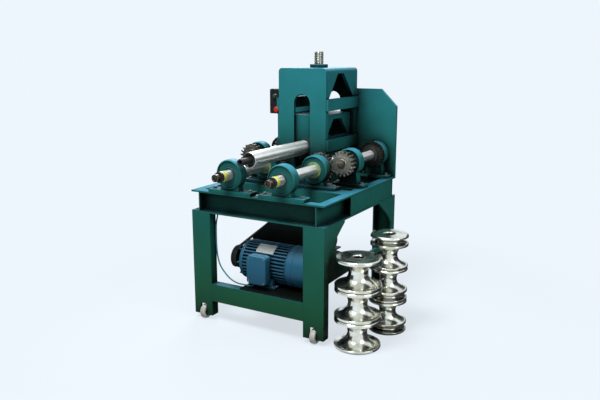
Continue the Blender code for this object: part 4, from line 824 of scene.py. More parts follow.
def put(name: str, shell: Shell, finish: Finish, body: str,
        replaces: Iterable[str] = (), bevel_mm: float = 0.0, angle: float = 35.0
        ) -> Piece:
    """Make a finished piece from a shell, and set it on its body.

    Args:
        name: the piece's name.
        shell: its surface in the table's coordinates.
        finish: its finish.
        body: the moving body that it rides on.
        replaces: the solid model's nodes that it stands for.
        bevel_mm: width of the rounded edges, where the shell's own are sharp.
        angle: angle in degrees above which an edge is drawn sharp.

    Returns:
        The piece's object.
    """
    mesh = bpy.data.meshes.new(name)
    mesh.from_pydata((shell.corners + PLACE).tolist(), [], shell.faces)
    surface = bmesh.new()
    surface.from_mesh(mesh)
    bmesh.ops.recalc_face_normals(surface, faces=surface.faces)
    surface.to_mesh(mesh)
    surface.free()
    mesh.shade_smooth()
    mesh.set_sharp_from_angle(angle=math.radians(angle))
    mesh.materials.append(finish.material())
    piece = bpy.data.objects.new(name, mesh)
    bpy.context.scene.collection.objects.link(piece)
    if bevel_mm:
        bevel = piece.modifiers.new("edges", "BEVEL")
        bevel.width = bevel_mm * MILLIMETRE
        bevel.segments = 2
        bevel.limit_method = "ANGLE"
        bevel.angle_limit = math.radians(angle)
        bevel.harden_normals = True
    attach(piece, body)
    if replaces:
        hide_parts(*replaces)
    LOG.info("%s: %d faces on %s", name, len(mesh.polygons), body)
    return piece


def put_bolts(name: str, bolts: Iterable[Shell]) -> None:
    """Make one zinc-plated piece of several bolt heads, on the frame."""
    put(name, merged(bolts), BOLT_STEEL, "frame", angle=25.0)


def dress(nodes: Iterable[str], finish: Finish) -> None:
    """Give nodes of the solid model a finish in place of their plain colour.

    Args:
        nodes: the nodes' names.
        finish: the finish.
    """
    for node in nodes:
        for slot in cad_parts[node].material_slots:
            slot.material = finish.material()


@dataclass(frozen=True)
class Plan:
    """Places and sizes that several sub-assemblies share."""

    width: float = 0.820
    depth: float = 0.926
    top: float = 0.736
    flange: float = 0.053
    seat: float = 0.0003
    middle: float = 0.410
    roller_span: float = 0.159
    roller_axis: float = 0.840
    upper_axis: float = 0.935
    gear_module: float = 0.007
    roller_teeth: int = 23
    counter_teeth: int = 18
    counter_span: float = 0.298
    gear_start: float = 0.412
    gear_width: float = 0.038
    head_half: float = 0.1525
    head_front: float = 0.500
    head_back: float = 0.905
    head_top: float = 1.382
    worm: tuple = (0.575, 0.385)
    output_axis: float = 0.495
    motor: tuple = (0.180, 0.338)
    belt_middle: float = 0.185
    chain_starts: tuple = (0.764, 0.800)
    chain_width: float = 0.030
    screw_depth: float = 0.7025
    terminal: tuple = (0.338, 0.460, 0.252, 0.410)
    terminal_front: float = 0.022
    control_width: float = 0.110
    control_bottom: float = 1.111

    @property
    def control_right(self) -> float:
        """Right side of the control box, a bracket's width left of the head."""
        return self.middle - self.head_half - 0.015 - self.seat

    @property
    def gear_lean(self) -> float:
        """Angle of the line from a roller's axis out to its countershaft's axis."""
        run, rise = self.gear_line
        return math.atan2(rise, run)

    @property
    def gear_line(self) -> tuple:
        """Find how a countershaft's axis lies from its roller's axis.

        Returns:
            The run outwards and the rise.
        """
        distance = self.gear_module * (self.roller_teeth + self.counter_teeth) / 2
        run = self.counter_span - self.roller_span
        return run, math.sqrt(distance ** 2 - run ** 2)

    @property
    def counter_axis(self) -> float:
        """Height of the countershafts."""
        return self.roller_axis + self.gear_line[1]

    def roller(self, side: Side) -> tuple:
        """Place of a roller's axis across its direction."""
        return self.middle + side.value * self.roller_span, self.roller_axis

    def counter(self, side: Side) -> tuple:
        """Place of a countershaft's axis across its direction."""
        return self.middle + side.value * self.counter_span, self.counter_axis


PLAN = Plan()


@dataclass
class Studio:
    """Camera at the photograph's place, lamps, dark cards, pale floor and background."""

    camera_place: tuple = (2.259, -2.763, 1.452)
    azimuth: float = 29.7
    pitch: float = 12.4
    focal_pixels: float = 658.0
    sensor: float = 36.0
    background: str = "#EEF6FD"
    floor: str = "#DEE5EB"
    bounce: str = "#9AA0A4"
    glow: float = 0.72
    card: float = 2.8
    reach: float = 14.0

    def build(self) -> None:
        """Set up the whole studio."""
        self.add_camera()
        self.add_lamps()
        self.add_flags()
        self.add_world()
        self.add_floor()
        scene = bpy.context.scene
        scene.view_settings.view_transform = "Standard"

    def add_camera(self) -> None:
        """Place the camera where the photograph was taken from."""
        turn, dip = math.radians(self.azimuth), math.radians(self.pitch)
        forward = Vector((-math.sin(turn) * math.cos(dip), math.cos(turn) * math.cos(dip),
                          -math.sin(dip)))
        data = bpy.data.cameras.new("camera")
        data.sensor_width = self.sensor
        data.lens = self.sensor * self.focal_pixels / PHOTO_WIDTH
        data.clip_end = 60.0
        camera = bpy.data.objects.new("camera", data)
        camera.location = Vector(self.camera_place) + Vector(PLACE)
        camera.rotation_euler = forward.to_track_quat("-Z", "Y").to_euler()
        bpy.context.scene.collection.objects.link(camera)
        bpy.context.scene.camera = camera

    def add_lamps(self) -> None:
        """Hang three soft boxes: the key in front and above, one to the right, one behind."""
        for name, place, size, power, colour in (
                ("key_box", (-0.2, -1.9, 3.7), 1.3, 124.0, "#FFFFFF"),
                ("right_box", (3.4, -0.9, 2.9), 1.6, 52.0, "#FFFFFF"),
                ("back_box", (-1.6, 2.2, 3.0), 1.6, 60.0, "#F0F8FF")):
            lamp = bpy.data.lights.new(name, "AREA")
            lamp.size = size
            lamp.energy = power
            lamp.color = linear(colour)[:3]
            holder = bpy.data.objects.new(name, lamp)
            holder.location = place
            aim = Vector((0.0, 0.0, 0.7)) - Vector(place)
            holder.rotation_euler = aim.to_track_quat("-Z", "Y").to_euler()
            bpy.context.scene.collection.objects.link(holder)

    def add_flags(self) -> None:
        """Stand four dark cards beside the set and lay a fifth; only bright metal shows them."""
        dark = BLACK_ABS.material()
        half = self.card / 2
        for name, place in (("right_flag", (2.65, 0.88, 0.5)),
                            ("far_right_flag", (1.1, 2.44, 0.5)),
                            ("left_flag", (-1.8, -1.66, 0.5)),
                            ("far_left_flag", (-2.36, 0.46, 0.5))):
            card = self.sheet(name, (-half, half), (-half, half), 0, dark)
            card.location = place
            aim = Vector((0.2, 0.0, 0.5)) - Vector(place)
            card.rotation_euler = aim.to_track_quat("Z", "Y").to_euler()
            self.hide_card(card)
        self.hide_card(self.sheet("floor_flag", (-1.6, 2.2), (-0.42, 2.4), 0.004, dark))

    def sheet(self, name: str, x: Point, y: Point, height: float,
              material: bpy.types.Material) -> Piece:
        """Make a flat rectangle.

        Args:
            name: the object's name.
            x: its two ends in X.
            y: its two ends in Y.
            height: its place in Z.
            material: its material.

        Returns:
            The object, not yet in the scene.
        """
        mesh = bpy.data.meshes.new(name)
        mesh.from_pydata([(x[0], y[0], height), (x[1], y[0], height), (x[1], y[1], height),
                          (x[0], y[1], height)], [], [(0, 1, 2, 3)])
        mesh.materials.append(material)
        return bpy.data.objects.new(name, mesh)

    def hide_card(self, card: Piece) -> None:
        """Let a card show only in bright metal.

        Args:
            card: the card's object.
        """
        card.visible_camera = False
        card.visible_diffuse = False
        card.visible_shadow = False
        bpy.context.scene.collection.objects.link(card)

    def straight_view(self, tree: Tree) -> Socket:
        """Tell what the eye sees from what only lights other things.

        Args:
            tree: the node tree.

        Returns:
            1 for a ray from the camera, a mirror or glass, otherwise 0.
        """
        rays = add_node(tree, "ShaderNodeLightPath")
        shown = rays.outputs["Is Camera Ray"]
        for kind in ("Is Glossy Ray", "Is Transmission Ray"):
            either = add_node(tree, "ShaderNodeMath", settings={"operation": "MAXIMUM"},
                              links={0: shown, 1: rays.outputs[kind]})
            shown = either.outputs["Value"]
        return shown

    def add_world(self) -> None:
        """Show a pale background, and light the object softly from all round."""
        world = bpy.data.worlds.new("studio")
        world.use_nodes = True
        tree = world.node_tree
        tree.nodes.clear()
        shown = self.straight_view(tree)
        soft = add_node(tree, "ShaderNodeBackground",
                        values={"Color": linear("#F2F6FA"), "Strength": 0.30})
        pale = add_node(tree, "ShaderNodeBackground",
                        values={"Color": linear(self.background), "Strength": 1.0})
        mixed = add_node(tree, "ShaderNodeMixShader",
                         links={0: shown, 1: soft.outputs["Background"],
                                2: pale.outputs["Background"]})
        add_node(tree, "ShaderNodeOutputWorld", links={"Surface": mixed.outputs["Shader"]})
        bpy.context.scene.world = world

    def add_floor(self) -> None:
        """Lay a plain pale floor that fades into the background and keeps the shadow."""
        material = bpy.data.materials.new("pale_floor")
        material.use_nodes = True
        tree = material.node_tree
        tree.nodes.clear()
        shown = self.straight_view(tree)
        place = add_node(tree, "ShaderNodeTexCoord")
        reach_out = add_node(tree, "ShaderNodeVectorMath", settings={"operation": "LENGTH"},
                             links={0: place.outputs["Object"]})
        fade = add_node(tree, "ShaderNodeMapRange", settings={"interpolation_type": "SMOOTHSTEP"},
                        values={"From Min": 0.7, "From Max": 2.1, "To Min": self.glow,
                                "To Max": 1.0},
                        links={"Value": reach_out.outputs["Value"]})
        pale = add_node(tree, "ShaderNodeEmission", values={"Color": linear(self.background),
                                                            "Strength": 1.0})
        lit = add_node(tree, "ShaderNodeBsdfDiffuse", values={"Color": linear(self.floor)})
        near = add_node(tree, "ShaderNodeMixShader",
                        links={0: fade.outputs["Result"], 1: lit.outputs["BSDF"],
                               2: pale.outputs["Emission"]})
        bounce = add_node(tree, "ShaderNodeBsdfDiffuse", values={"Color": linear(self.bounce)})
        surface = add_node(tree, "ShaderNodeMixShader",
                           links={0: shown, 1: bounce.outputs["BSDF"],
                                  2: near.outputs["Shader"]})
        add_node(tree, "ShaderNodeOutputMaterial", links={"Surface": surface.outputs["Shader"]})
        sides = (-self.reach, self.reach)
        floor = self.sheet("floor", sides, sides, 0, material)
        bpy.context.scene.collection.objects.link(floor)


@dataclass
class Table:
    """The welded table, its legs and rails, with the weld beads that hold them."""

    plates: tuple = ("table_front_channel", "table_rear_channel", "table_left_channel",
                     "table_right_channel", "cross_member_front", "cross_member_rear",
                     "leg_front_left", "leg_front_right", "leg_rear_left", "leg_rear_right",
                     "lower_front_rail", "lower_right_rail")
    leg_width: float = 0.120
    leg_top: float = 0.6157
    rail: tuple = (0.115, 0.215)
    edge: float = 0.004
    bead: float = 0.0035
    bead_end: float = 0.225

    def build(self) -> None:
        """Dress the plates and lay the beads."""
        dress(self.plates, GREEN_ENAMEL)
        # painted shade: the drive shelf under the table is drawn near black
        dress(["drive_shelf"], PAINTED_SHADE_BLACK)
        put("leg_and_rail_welds", self.leg_welds(), GREEN_ENAMEL, "frame")
        put("table_corner_welds", self.corner_welds(), GREEN_ENAMEL, "frame")

    def leg_welds(self) -> Shell:
        """Lay beads between the front rail and the legs, and round the legs' tops.

        Returns:
            The beads.
        """
        low, high = self.rail[0] + self.edge, self.rail[1] - self.edge
        beads = [weld_bead((x, self.bead, low), (x, self.bead, high), self.bead)
                 for x in (self.leg_width + 0.001, PLAN.width - self.leg_width - 0.001)]
        for outer, inner in ((self.edge, self.leg_width),
                             (PLAN.width - self.edge, PLAN.width - self.leg_width)):
            corner = (outer, self.edge, self.leg_top)
            beads.append(weld_bead(corner, (inner, self.edge, self.leg_top), self.bead))
            beads.append(weld_bead(corner, (outer, self.bead_end, self.leg_top), self.bead))
        return merged(beads)

    def corner_welds(self) -> Shell:
        """Lay upright beads where the side channels meet the front and rear webs.

        Returns:
            The beads.
        """
        return merged(weld_bead((x, y, 0.628), (x, y, 0.724), 0.004)
                      for x in (PLAN.flange, PLAN.width - PLAN.flange)
                      for y in (PLAN.flange, PLAN.depth - PLAN.flange))


@dataclass
class Bearings:
    """Eight pillow bearings with round housings, seals and foot bolts."""

    radius: float = 0.080
    counter_radius: float = 0.075
    width: float = 0.060
    foot_height: float = 0.018
    foot_depth: float = 0.070
    front_foot: float = 0.270
    counter_foot: float = 0.190
    face: float = 0.004
    step: float = 0.006
    rim: float = 0.010
    bolt_inset: float = 0.022
    bolt_size: float = 0.0095

    def build(self) -> None:
        """Build all the bearings, each row at its start in Y and with its shaft's radius."""
        for side in Side:
            for row, start, shaft in (("front", 0.0, 0.0275), ("middle", 0.345, 0.030)):
                self.add(f"bearing_{row}_{side.word}", start, PLAN.roller(side), self.radius,
                         self.front_foot, shaft, greased=row == "middle")
            for row, start in (("counter", 0.490), ("rear", 0.8447)):
                self.add(f"bearing_{row}_{side.word}", start, PLAN.counter(side),
                         self.counter_radius, self.counter_foot, 0.0275)

    def add(self, name: str, start: float, centre: tuple, radius: float, foot: float,
            shaft: float, greased: bool = False) -> None:
        """Build one bearing: housing and foot, its seal ring and its two bolts.

        Args:
            name: the solid model's name for it.
            start: its front in Y.
            centre: its shaft's axis.
            radius: the housing's radius.
            foot: the foot's length in X.
            shaft: the shaft's radius.
            greased: whether yellow grease shows in place of the seal.
        """
        end = start + self.width
        lip = radius - self.rim
        inner = shaft + (0.016 if greased else 0.009)
        half_section = [(shaft + 0.001, self.face), (inner, self.face), (inner + 0.002, self.step),
                        (lip, self.step), (lip + 0.002, 0.0), (radius - 0.005, 0.0),
                        (radius, self.step)]
        housing = ([(across, start + depth) for across, depth in half_section]
                   + [(across, end - depth) for across, depth in reversed(half_section)])
        disc = turned(eased(housing, 0.0016, closed=True), Axis.Y, centre, True)
        seat = PLAN.top + PLAN.seat
        foot_top = seat + self.foot_height
        foot_start = start + (self.width - self.foot_depth) / 2
        foot_start = min(max(foot_start, 0.0), PLAN.head_back - PLAN.seat - self.foot_depth)
        half = foot / 2
        plate = block((centre[0] - half, centre[0] + half),
                      (foot_start, foot_start + self.foot_depth), (seat, foot_top))
        neck_half = 0.75 * radius
        neck_outline = [(centre[0] + share * neck_half, height)
                        for share, height in ((-1, foot_top - 0.002), (1, foot_top - 0.002),
                                              (0.8, centre[1] - 0.55 * radius),
                                              (-0.8, centre[1] - 0.55 * radius))]
        neck = slab(np.array(neck_outline), Axis.Y, start + 0.007, end - 0.007)
        put(f"{name}_housing", merged([disc, plate, neck]), GREEN_ENAMEL, "frame",
            [name], bevel_mm=1.5, angle=50.0)
        seal = ring(inner - 0.001, shaft + 0.0012, start + 0.0025, end - 0.0025, Axis.Y, centre,
                    0.0006)
        put(f"{name}_seal", seal, BEARING_GREASE if greased else SEAL_RUBBER, "frame")
        put_bolts(f"{name}_bolts", [
            hex_bolt((centre[0] + sign * (half - self.bolt_inset),
                      foot_start + self.foot_depth / 2, foot_top), Axis.Z, 1.0, self.bolt_size)
            for sign in (-1, 1)])


def gear_outline(centre: Point, teeth: int, first_tooth: float) -> np.ndarray:
    """Outline of a spur gear with involute flanks.

    The flank's half angle at radius r is the pitch half angle + inv(20 degrees) - inv(roll),
    where inv(a) = tan a - a and roll = arccos(base radius / r).

    Args:
        centre: the gear's axis.
        teeth: number of teeth.
        first_tooth: angle of the first tooth's middle.

    Returns:
        The outline's points, in order.
    """
    module = PLAN.gear_module
    pressure = math.radians(20)
    pitch = module * teeth / 2
    base = pitch * math.cos(pressure)
    radii = np.linspace(pitch - 1.25 * module, pitch + module, 7)
    roll = np.arccos(np.clip(base / np.maximum(radii, base), -1, 1))
    half = (math.pi / (2 * teeth) * 0.94 + math.tan(pressure) - pressure) - (np.tan(roll) - roll)
    radius = np.concatenate([radii, radii[::-1]])
    offset = np.concatenate([-half, half[::-1]])
    middle = first_tooth + 2 * math.pi * np.arange(teeth)[:, None] / teeth
    angle = middle + offset
    return np.stack([centre[0] + radius * np.cos(angle), centre[1] + radius * np.sin(angle)],
                    -1).reshape(-1, 2)


def put_gear(name: str, body: str, outline: np.ndarray, centre: Point, bore: float,
             hub: Point) -> None:
    """Cut a gear of the gear train, with a raised hub on its front.

    Args:
        name: the piece's name.
        body: the moving body that it rides on.
        outline: the teeth's outline.
        centre: its axis.
        bore: the hub's inner radius.
        hub: the hub's radius, and how far it stands out.
    """
    start = PLAN.gear_start
    wheel = slab(outline, Axis.Y, start, start + PLAN.gear_width)
    raised = ring(hub[0], bore, start - hub[1], start + 0.002, Axis.Y, centre)
    put(name, merged([wheel, raised]), GEAR_STEEL, body, bevel_mm=0.6,
        angle=50.0)


@dataclass
class Rollers:
    """The two driven roller shafts with their gears and marking bands."""

    front: float = -0.120
    stub_radius: float = 0.020
    stub_length: float = 0.035
    nose_radius: float = 0.0275
    radius: float = 0.030
    socket: tuple = (0.011, 0.018)
    band: tuple = (-0.066, -0.046)
    nose_end: float = 0.064
    gear_hub: tuple = (0.052, 0.004)

    def build(self) -> None:
        """Build both shafts."""
        for side in Side:
            self.add_shaft(side)
            self.add_gear(side)

    def add_shaft(self, side: Side) -> None:
        """Turn the bar with its socketed stub and its undercut, and wrap the yellow band.

        Args:
            side: the roller's side of the machine.
        """
        centre = PLAN.roller(side)
        name, body = f"roller_shaft_{side.word}", f"roller_{side.word}"
        shoulder = self.front + self.stub_length
        gear_end = PLAN.gear_start + PLAN.gear_width - 0.002
        floor = self.front + self.socket[1]
        stub = [(CORE, floor), (self.socket[0], floor), (self.socket[0], self.front),
                (self.stub_radius, self.front), (self.stub_radius, shoulder + 0.001),
                (CORE, shoulder + 0.001)]
        profile = [(CORE, shoulder), (self.nose_radius, shoulder),
                   (self.nose_radius, self.nose_end), (self.radius, self.nose_end),
                   (self.radius, gear_end), (CORE, gear_end)]
        put(f"{name}_bar", turned(eased(profile, 0.0016), Axis.Y, centre), GROUND_BAR, body,
            [name])
        collar = ring(self.nose_radius + 0.0012, self.stub_radius - 0.001, shoulder - 0.0008,
                      shoulder + 0.012, Axis.Y, centre, 0.0006)
        put(f"{name}_collar", collar, BLACK_STEEL, body)
        put(f"{name}_stub", turned(eased(stub, 0.0022), Axis.Y, centre), OILED_STEEL, body)
        tape = ring(self.nose_radius + 0.0007, self.nose_radius - 0.0006, *self.band, Axis.Y,
                    centre, 0.0003)
        put(f"{name}_band", tape, YELLOW_TAPE, body)

    def add_gear(self, side: Side) -> None:
        """Cut the roller's gear, with a tooth towards its countershaft.

        Args:
            side: the roller's side of the machine.
        """
        centre = PLAN.roller(side)
        first = PLAN.gear_lean if side is Side.RIGHT else math.pi - PLAN.gear_lean
        put_gear(f"roller_gear_{side.word}", f"roller_{side.word}",
                 gear_outline(centre, PLAN.roller_teeth, first), centre, self.radius + 0.0005,
                 self.gear_hub)


@dataclass
class Countershafts:
    """The two countershafts with their gears, collars, end caps and chain sprockets."""

    radius: float = 0.0275
    lead: float = 0.005
    collar: tuple = (0.048, 0.012)
    cap: tuple = (0.035, 0.9255, 1.080)
    sprocket_radius: float = 0.068
    sprocket_teeth: int = 24
    hub_radius: float = 0.042
    gear_hub: tuple = (0.042, 0.003)

    def build(self) -> None:
        """Build both countershafts."""
        for side, chain_start in zip(Side, PLAN.chain_starts):
            self.add(side, chain_start)

    def add(self, side: Side, chain_start: float) -> None:
        """Build one countershaft and what turns with it.

        Args:
            side: its side of the machine.
            chain_start: its chain's front in Y.
        """
        centre = PLAN.counter(side)
        body = f"countershaft_{side.word}"
        nose = PLAN.gear_start - self.lead
        collar_end = chain_start - PLAN.seat
        shaft = bar([(self.radius, nose, self.cap[1] + 0.001)], Axis.Y, centre, 0.002)
        put(f"{body}_bar", shaft, GROUND_BAR, body, [body])
        collar = ring(self.collar[0], self.radius + 0.0004, collar_end - self.collar[1],
                      collar_end, Axis.Y, centre, 0.0015)
        end_cap = bar([self.cap], Axis.Y, centre, 0.003)
        put(f"{body}_collar", merged([collar, end_cap]), BLACK_STEEL, body)
        washer = bar([(0.013, nose - 0.008, nose - 0.002),
                      (self.radius - 0.0006, nose - 0.002, nose + 0.002)], Axis.Y, centre)
        put(f"{body}_washer", washer, OILED_STEEL, body)
        to_roller = math.pi + PLAN.gear_lean if side is Side.RIGHT else -PLAN.gear_lean
        first = to_roller + math.pi / PLAN.counter_teeth
        put_gear(f"counter_gear_{side.word}", body,
                 gear_outline(centre, PLAN.counter_teeth, first), centre, self.radius + 0.0005,
                 self.gear_hub)
        teeth = sprocket_outline(centre, self.sprocket_teeth, self.sprocket_radius)
        disc = slab(teeth, Axis.Y, chain_start + 0.010, chain_start + 0.020)
        boss = ring(self.hub_radius, self.radius + 0.0006, chain_start + 0.0004,
                    chain_start + PLAN.chain_width + 0.004, Axis.Y, centre)
        web = ring(self.sprocket_radius - 0.016, self.radius + 0.0008, chain_start + 0.006,
                   chain_start + 0.024, Axis.Y, centre)
        name = f"chain_sprocket_{side.word}"
        put(f"{name}_wheel", merged([disc, boss, web]), BLACK_STEEL, body,
            [name], bevel_mm=0.5, angle=50.0)


def sprocket_outline(centre: Point, teeth: int, tip: float,
                     depth: float = 0.008) -> np.ndarray:
    """Outline of a sprocket whose teeth rise and fall as a raised cosine of the angle.

    Args:
        centre: its axis.
        teeth: number of teeth.
        tip: radius at the teeth's tips.
        depth: height of the teeth.

    Returns:
        The outline's points, in order.
    """
    count = teeth * 12
    angle = 2 * math.pi * np.arange(count) / count
    wave = np.clip(0.5 + 0.85 * np.cos(teeth * angle), 0, 1)
    radius = tip - depth + depth * wave
    return np.stack([centre[0] + radius * np.cos(angle), centre[1] + radius * np.sin(angle)], -1)


@dataclass(frozen=True)
class Loop:
    """A band drawn tight round two circles, as a path by its length."""

    first: tuple
    first_radius: float
    second: tuple
    second_radius: float

    def points(self, count: int) -> tuple[np.ndarray, np.ndarray]:
        """Give evenly spaced points on the loop and the heading at each.

        The loop is two arcs and the two tangents between them; a point lies at its share of
        the whole length.

        Args:
            count: number of points.

        Returns:
            The points, and the angles of the loop's direction.
        """
        first, second = np.array(self.first), np.array(self.second)
        span = second - first
        gap = float(np.linalg.norm(span))
        heading = math.atan2(span[1], span[0])
        lean = math.asin((self.second_radius - self.first_radius) / gap)
        straight = math.sqrt(gap ** 2 - (self.second_radius - self.first_radius) ** 2)
        wrap_second = math.pi + 2 * lean
        wrap_first = math.pi - 2 * lean
        lengths = [wrap_second * self.second_radius, straight,
                   wrap_first * self.first_radius, straight]
        marks = np.concatenate([[0.0], np.cumsum(lengths)])
        way = marks[-1] * np.arange(count) / count
        start_angle = heading - math.pi / 2 - lean
        on_second = start_angle + (way - marks[0]) / self.second_radius
        on_first = start_angle + wrap_second + (way - marks[2]) / self.first_radius
        top = start_angle + wrap_second
        low = start_angle
        places = np.zeros((count, 2))
        headings = np.zeros(count)
        for part, (centre, radius, angle) in enumerate((
                (second, self.second_radius, on_second), (None, 0, top),
                (first, self.first_radius, on_first), (None, 0, low))):
            chosen = (way >= marks[part]) & (way < marks[part + 1])
            if centre is not None:
                normal = np.stack([np.cos(angle), np.sin(angle)], -1)
                places[chosen] = (centre + radius * normal)[chosen]
                headings[chosen] = angle[chosen] + math.pi / 2
            else:
                normal = np.array([math.cos(angle), math.sin(angle)])
                ends = ((second + self.second_radius * normal, first + self.first_radius * normal)
                        if part == 1 else
                        (first + self.first_radius * normal, second + self.second_radius * normal))
                share = ((way - marks[part]) / straight)[:, None]
                places[chosen] = (ends[0] + (ends[1] - ends[0]) * share)[chosen]
                headings[chosen] = angle + math.pi / 2
        return places, headings


@dataclass
class Chains:
    """The two roller chains from the gearbox up to the countershafts."""

    small_radius: float = 0.0405
    large_radius: float = 0.0685
    thickness: float = 0.012
    link_count: int = 66
    plate_thickness: float = 0.0018
    plate_half: float = 0.0055
    waist_half: float = 0.0042

    def build(self) -> None:
        """Build both chains."""
        for side, start in zip(Side, PLAN.chain_starts):
            put(f"drive_chain_{side.word}_links", self.chain(side, start), CHAIN_STEEL, "frame",
                [f"drive_chain_{side.word}"], angle=40.0)

    def chain(self, side: Side, start: float) -> Shell:
        """Lay the links of one chain: a roller and two side plates repeated along the loop.

        Args:
            side: the chain's side of the machine.
            start: the chain's front in Y.

        Returns:
            Every link in one shell.
        """
        middle = self.thickness / 2
        loop = Loop((PLAN.middle, PLAN.output_axis), self.small_radius + middle,
                    PLAN.counter(side), self.large_radius + middle)
        places, _ = loop.points(self.link_count)
        ahead = np.roll(places, -1, 0)
        pitch = float(np.median(np.linalg.norm(ahead - places, axis=1)))
        roller = turned(np.array([(0.0044, start + 0.008), (0.0044, start + 0.022)]), Axis.Y,
                        (0, 0), sides=10)
        pin = turned(np.array([(0.0024, start + 0.002), (0.0024, start + 0.028)]), Axis.Y, (0, 0),
                     sides=8)
        shells = []
        for index in range(self.link_count):
            run = ahead[index] - places[index]
            angle = math.atan2(run[1], run[0])
            depth = 0.0045 if index % 2 else 0.0065
            for plate_start in (start + depth,
                                start + PLAN.chain_width - depth - self.plate_thickness):
                plate = self.plate(pitch, plate_start)
                shells.append(plate.spun(Axis.Y, angle, places[index]))
            for part in (roller, pin):
                shells.append(part.spun(Axis.Y, 0.0, places[index]))
        return merged(shells)

    def plate(self, pitch: float, start: float) -> Shell:
        """Cut a link's side plate, round at both ends and waisted between them.

        Args:
            pitch: distance of its two pins.
            start: its front in Y.

        Returns:
            The plate, with its first pin at the origin and its second along X.
        """
        angle = np.radians(np.linspace(100, 260, 5))
        left = self.plate_half * np.stack([np.cos(angle), np.sin(angle)], -1)
        right = np.stack([pitch - left[:, 0], -left[:, 1]], -1)
        outline = np.concatenate([left, [(pitch / 2, -self.waist_half)], right,
                                  [(pitch / 2, self.waist_half)]])
        return slab(outline, Axis.Y, start, start + self.plate_thickness)


@dataclass
class PressHead:
    """The head's plates with their welds, the nut on top and the cable gland."""

    plates: tuple = ("head_front_plate", "back_plate", "head_side_plate_left",
                     "head_side_plate_right", "carriage")
    nut: tuple = (0.0525, 0.020, 0.0282)
    nut_body: tuple = (0.042, 0.075)
    gland: tuple = (0.600, 1.309)
    bead: float = 0.0035

    def build(self) -> None:
        """Dress the plates and add the nut, the welds and the cable gland."""
        dress(self.plates, GREEN_ENAMEL)
        seat = PLAN.head_top + PLAN.seat
        centre = (PLAN.middle, PLAN.screw_depth)
        flange = ring(self.nut[0], self.nut[2], seat, seat + self.nut[1], Axis.Z, centre, 0.003)
        body = ring(self.nut_body[0], self.nut[2], PLAN.head_top - self.nut_body[1],
                    seat + 0.004, Axis.Z, centre, 0.002)
        put("press_nut_flange", merged([flange, body]), GREEN_ENAMEL, "frame",
            ["press_nut"])
        put("head_welds", self.welds(), GREEN_ENAMEL, "frame")
        left = PLAN.middle - PLAN.head_half
        gland = bar([(0.010, left - 0.014, left - 0.008), (0.007, left - 0.008, left - 0.0002)],
                    Axis.X, self.gland, 0.001, 32)
        put("cable_gland", gland, BLACK_ABS, "frame")

    def welds(self) -> Shell:
        """Lay beads at the head's foot, along its side plates and at the back plate's foot.

        Returns:
            The beads.
        """
        left, right = PLAN.middle - PLAN.head_half, PLAN.middle + PLAN.head_half
        seat = PLAN.top + 0.001
        front, back = PLAN.head_front, PLAN.head_back
        beads = [weld_bead((start, y, seat), (end, y, seat))
                 for y, start, end in ((front, left, left + 0.098), (front, right - 0.098, right),
                                       (back, 0.004, 0.09),
                                       (back, PLAN.width - 0.09, PLAN.width - 0.004))]
        for x in (left, right):
            for y, low, high in ((front + 0.0203, 1.215, 1.352), (back, 0.93, 0.975),
                                 (back, 1.152, 1.245)):
                beads.append(weld_bead((x, y, low), (x, y, high), self.bead))
        return merged(beads)


@dataclass
class PressScrew:
    """The press screw with its cut thread and its two collars."""

    radius: float = 0.0275
    depth: float = 0.0026
    pitch: float = 0.010
    top: float = 1.474
    over: float = 1.1213
    under: float = 1.1007
    collar_radius: float = 0.042
    collar_height: float = 0.014
    chamfer: float = 0.004

    def build(self) -> None:
        """Build the screw on its turning body."""
        centre = (PLAN.middle, PLAN.screw_depth)
        collars = [bar([(self.collar_radius, self.over, self.over + self.collar_height)], Axis.Z,
                       centre, 0.0015),
                   bar([(self.collar_radius, self.under - self.collar_height, self.under),
                        (self.radius, self.under, self.over)], Axis.Z, centre, 0.0015)]
        put("press_screw_thread", merged([self.thread(centre), *collars]), SCREW_STEEL,
            "screw", ["press_screw"], angle=60.0)

    def thread(self, centre: tuple) -> Shell:
        """Cut the thread as a height field round the bar.

        The radius falls by the depth where a flat-topped wave of z / pitch - angle / turn is
        low, and the thread fades out towards a chamfer at the top.

        Args:
            centre: the screw's axis.

        Returns:
            The closed shell.
        """
        low = self.over + self.collar_height - 0.001
        rows = np.arange(low, self.top, self.pitch / 12)
        rows = np.append(rows, self.top)
        angle = 2 * math.pi * np.arange(48) / 48
        phase = rows[:, None] / self.pitch - angle[None, :] / (2 * math.pi)
        wave = np.clip(0.5 + 1.3 * np.cos(2 * math.pi * phase), 0, 1)
        radius = self.radius - self.depth * (1 - wave)
        below = np.clip((self.top - rows) / self.chamfer, 0, 1)[:, None]
        radius = np.minimum(radius, self.radius - self.chamfer * (1 - below))
        grid = np.stack([centre[0] + radius * np.cos(angle), centre[1] + radius * np.sin(angle),
                         np.broadcast_to(rows[:, None], radius.shape)], -1)
        return grid_shell(grid)


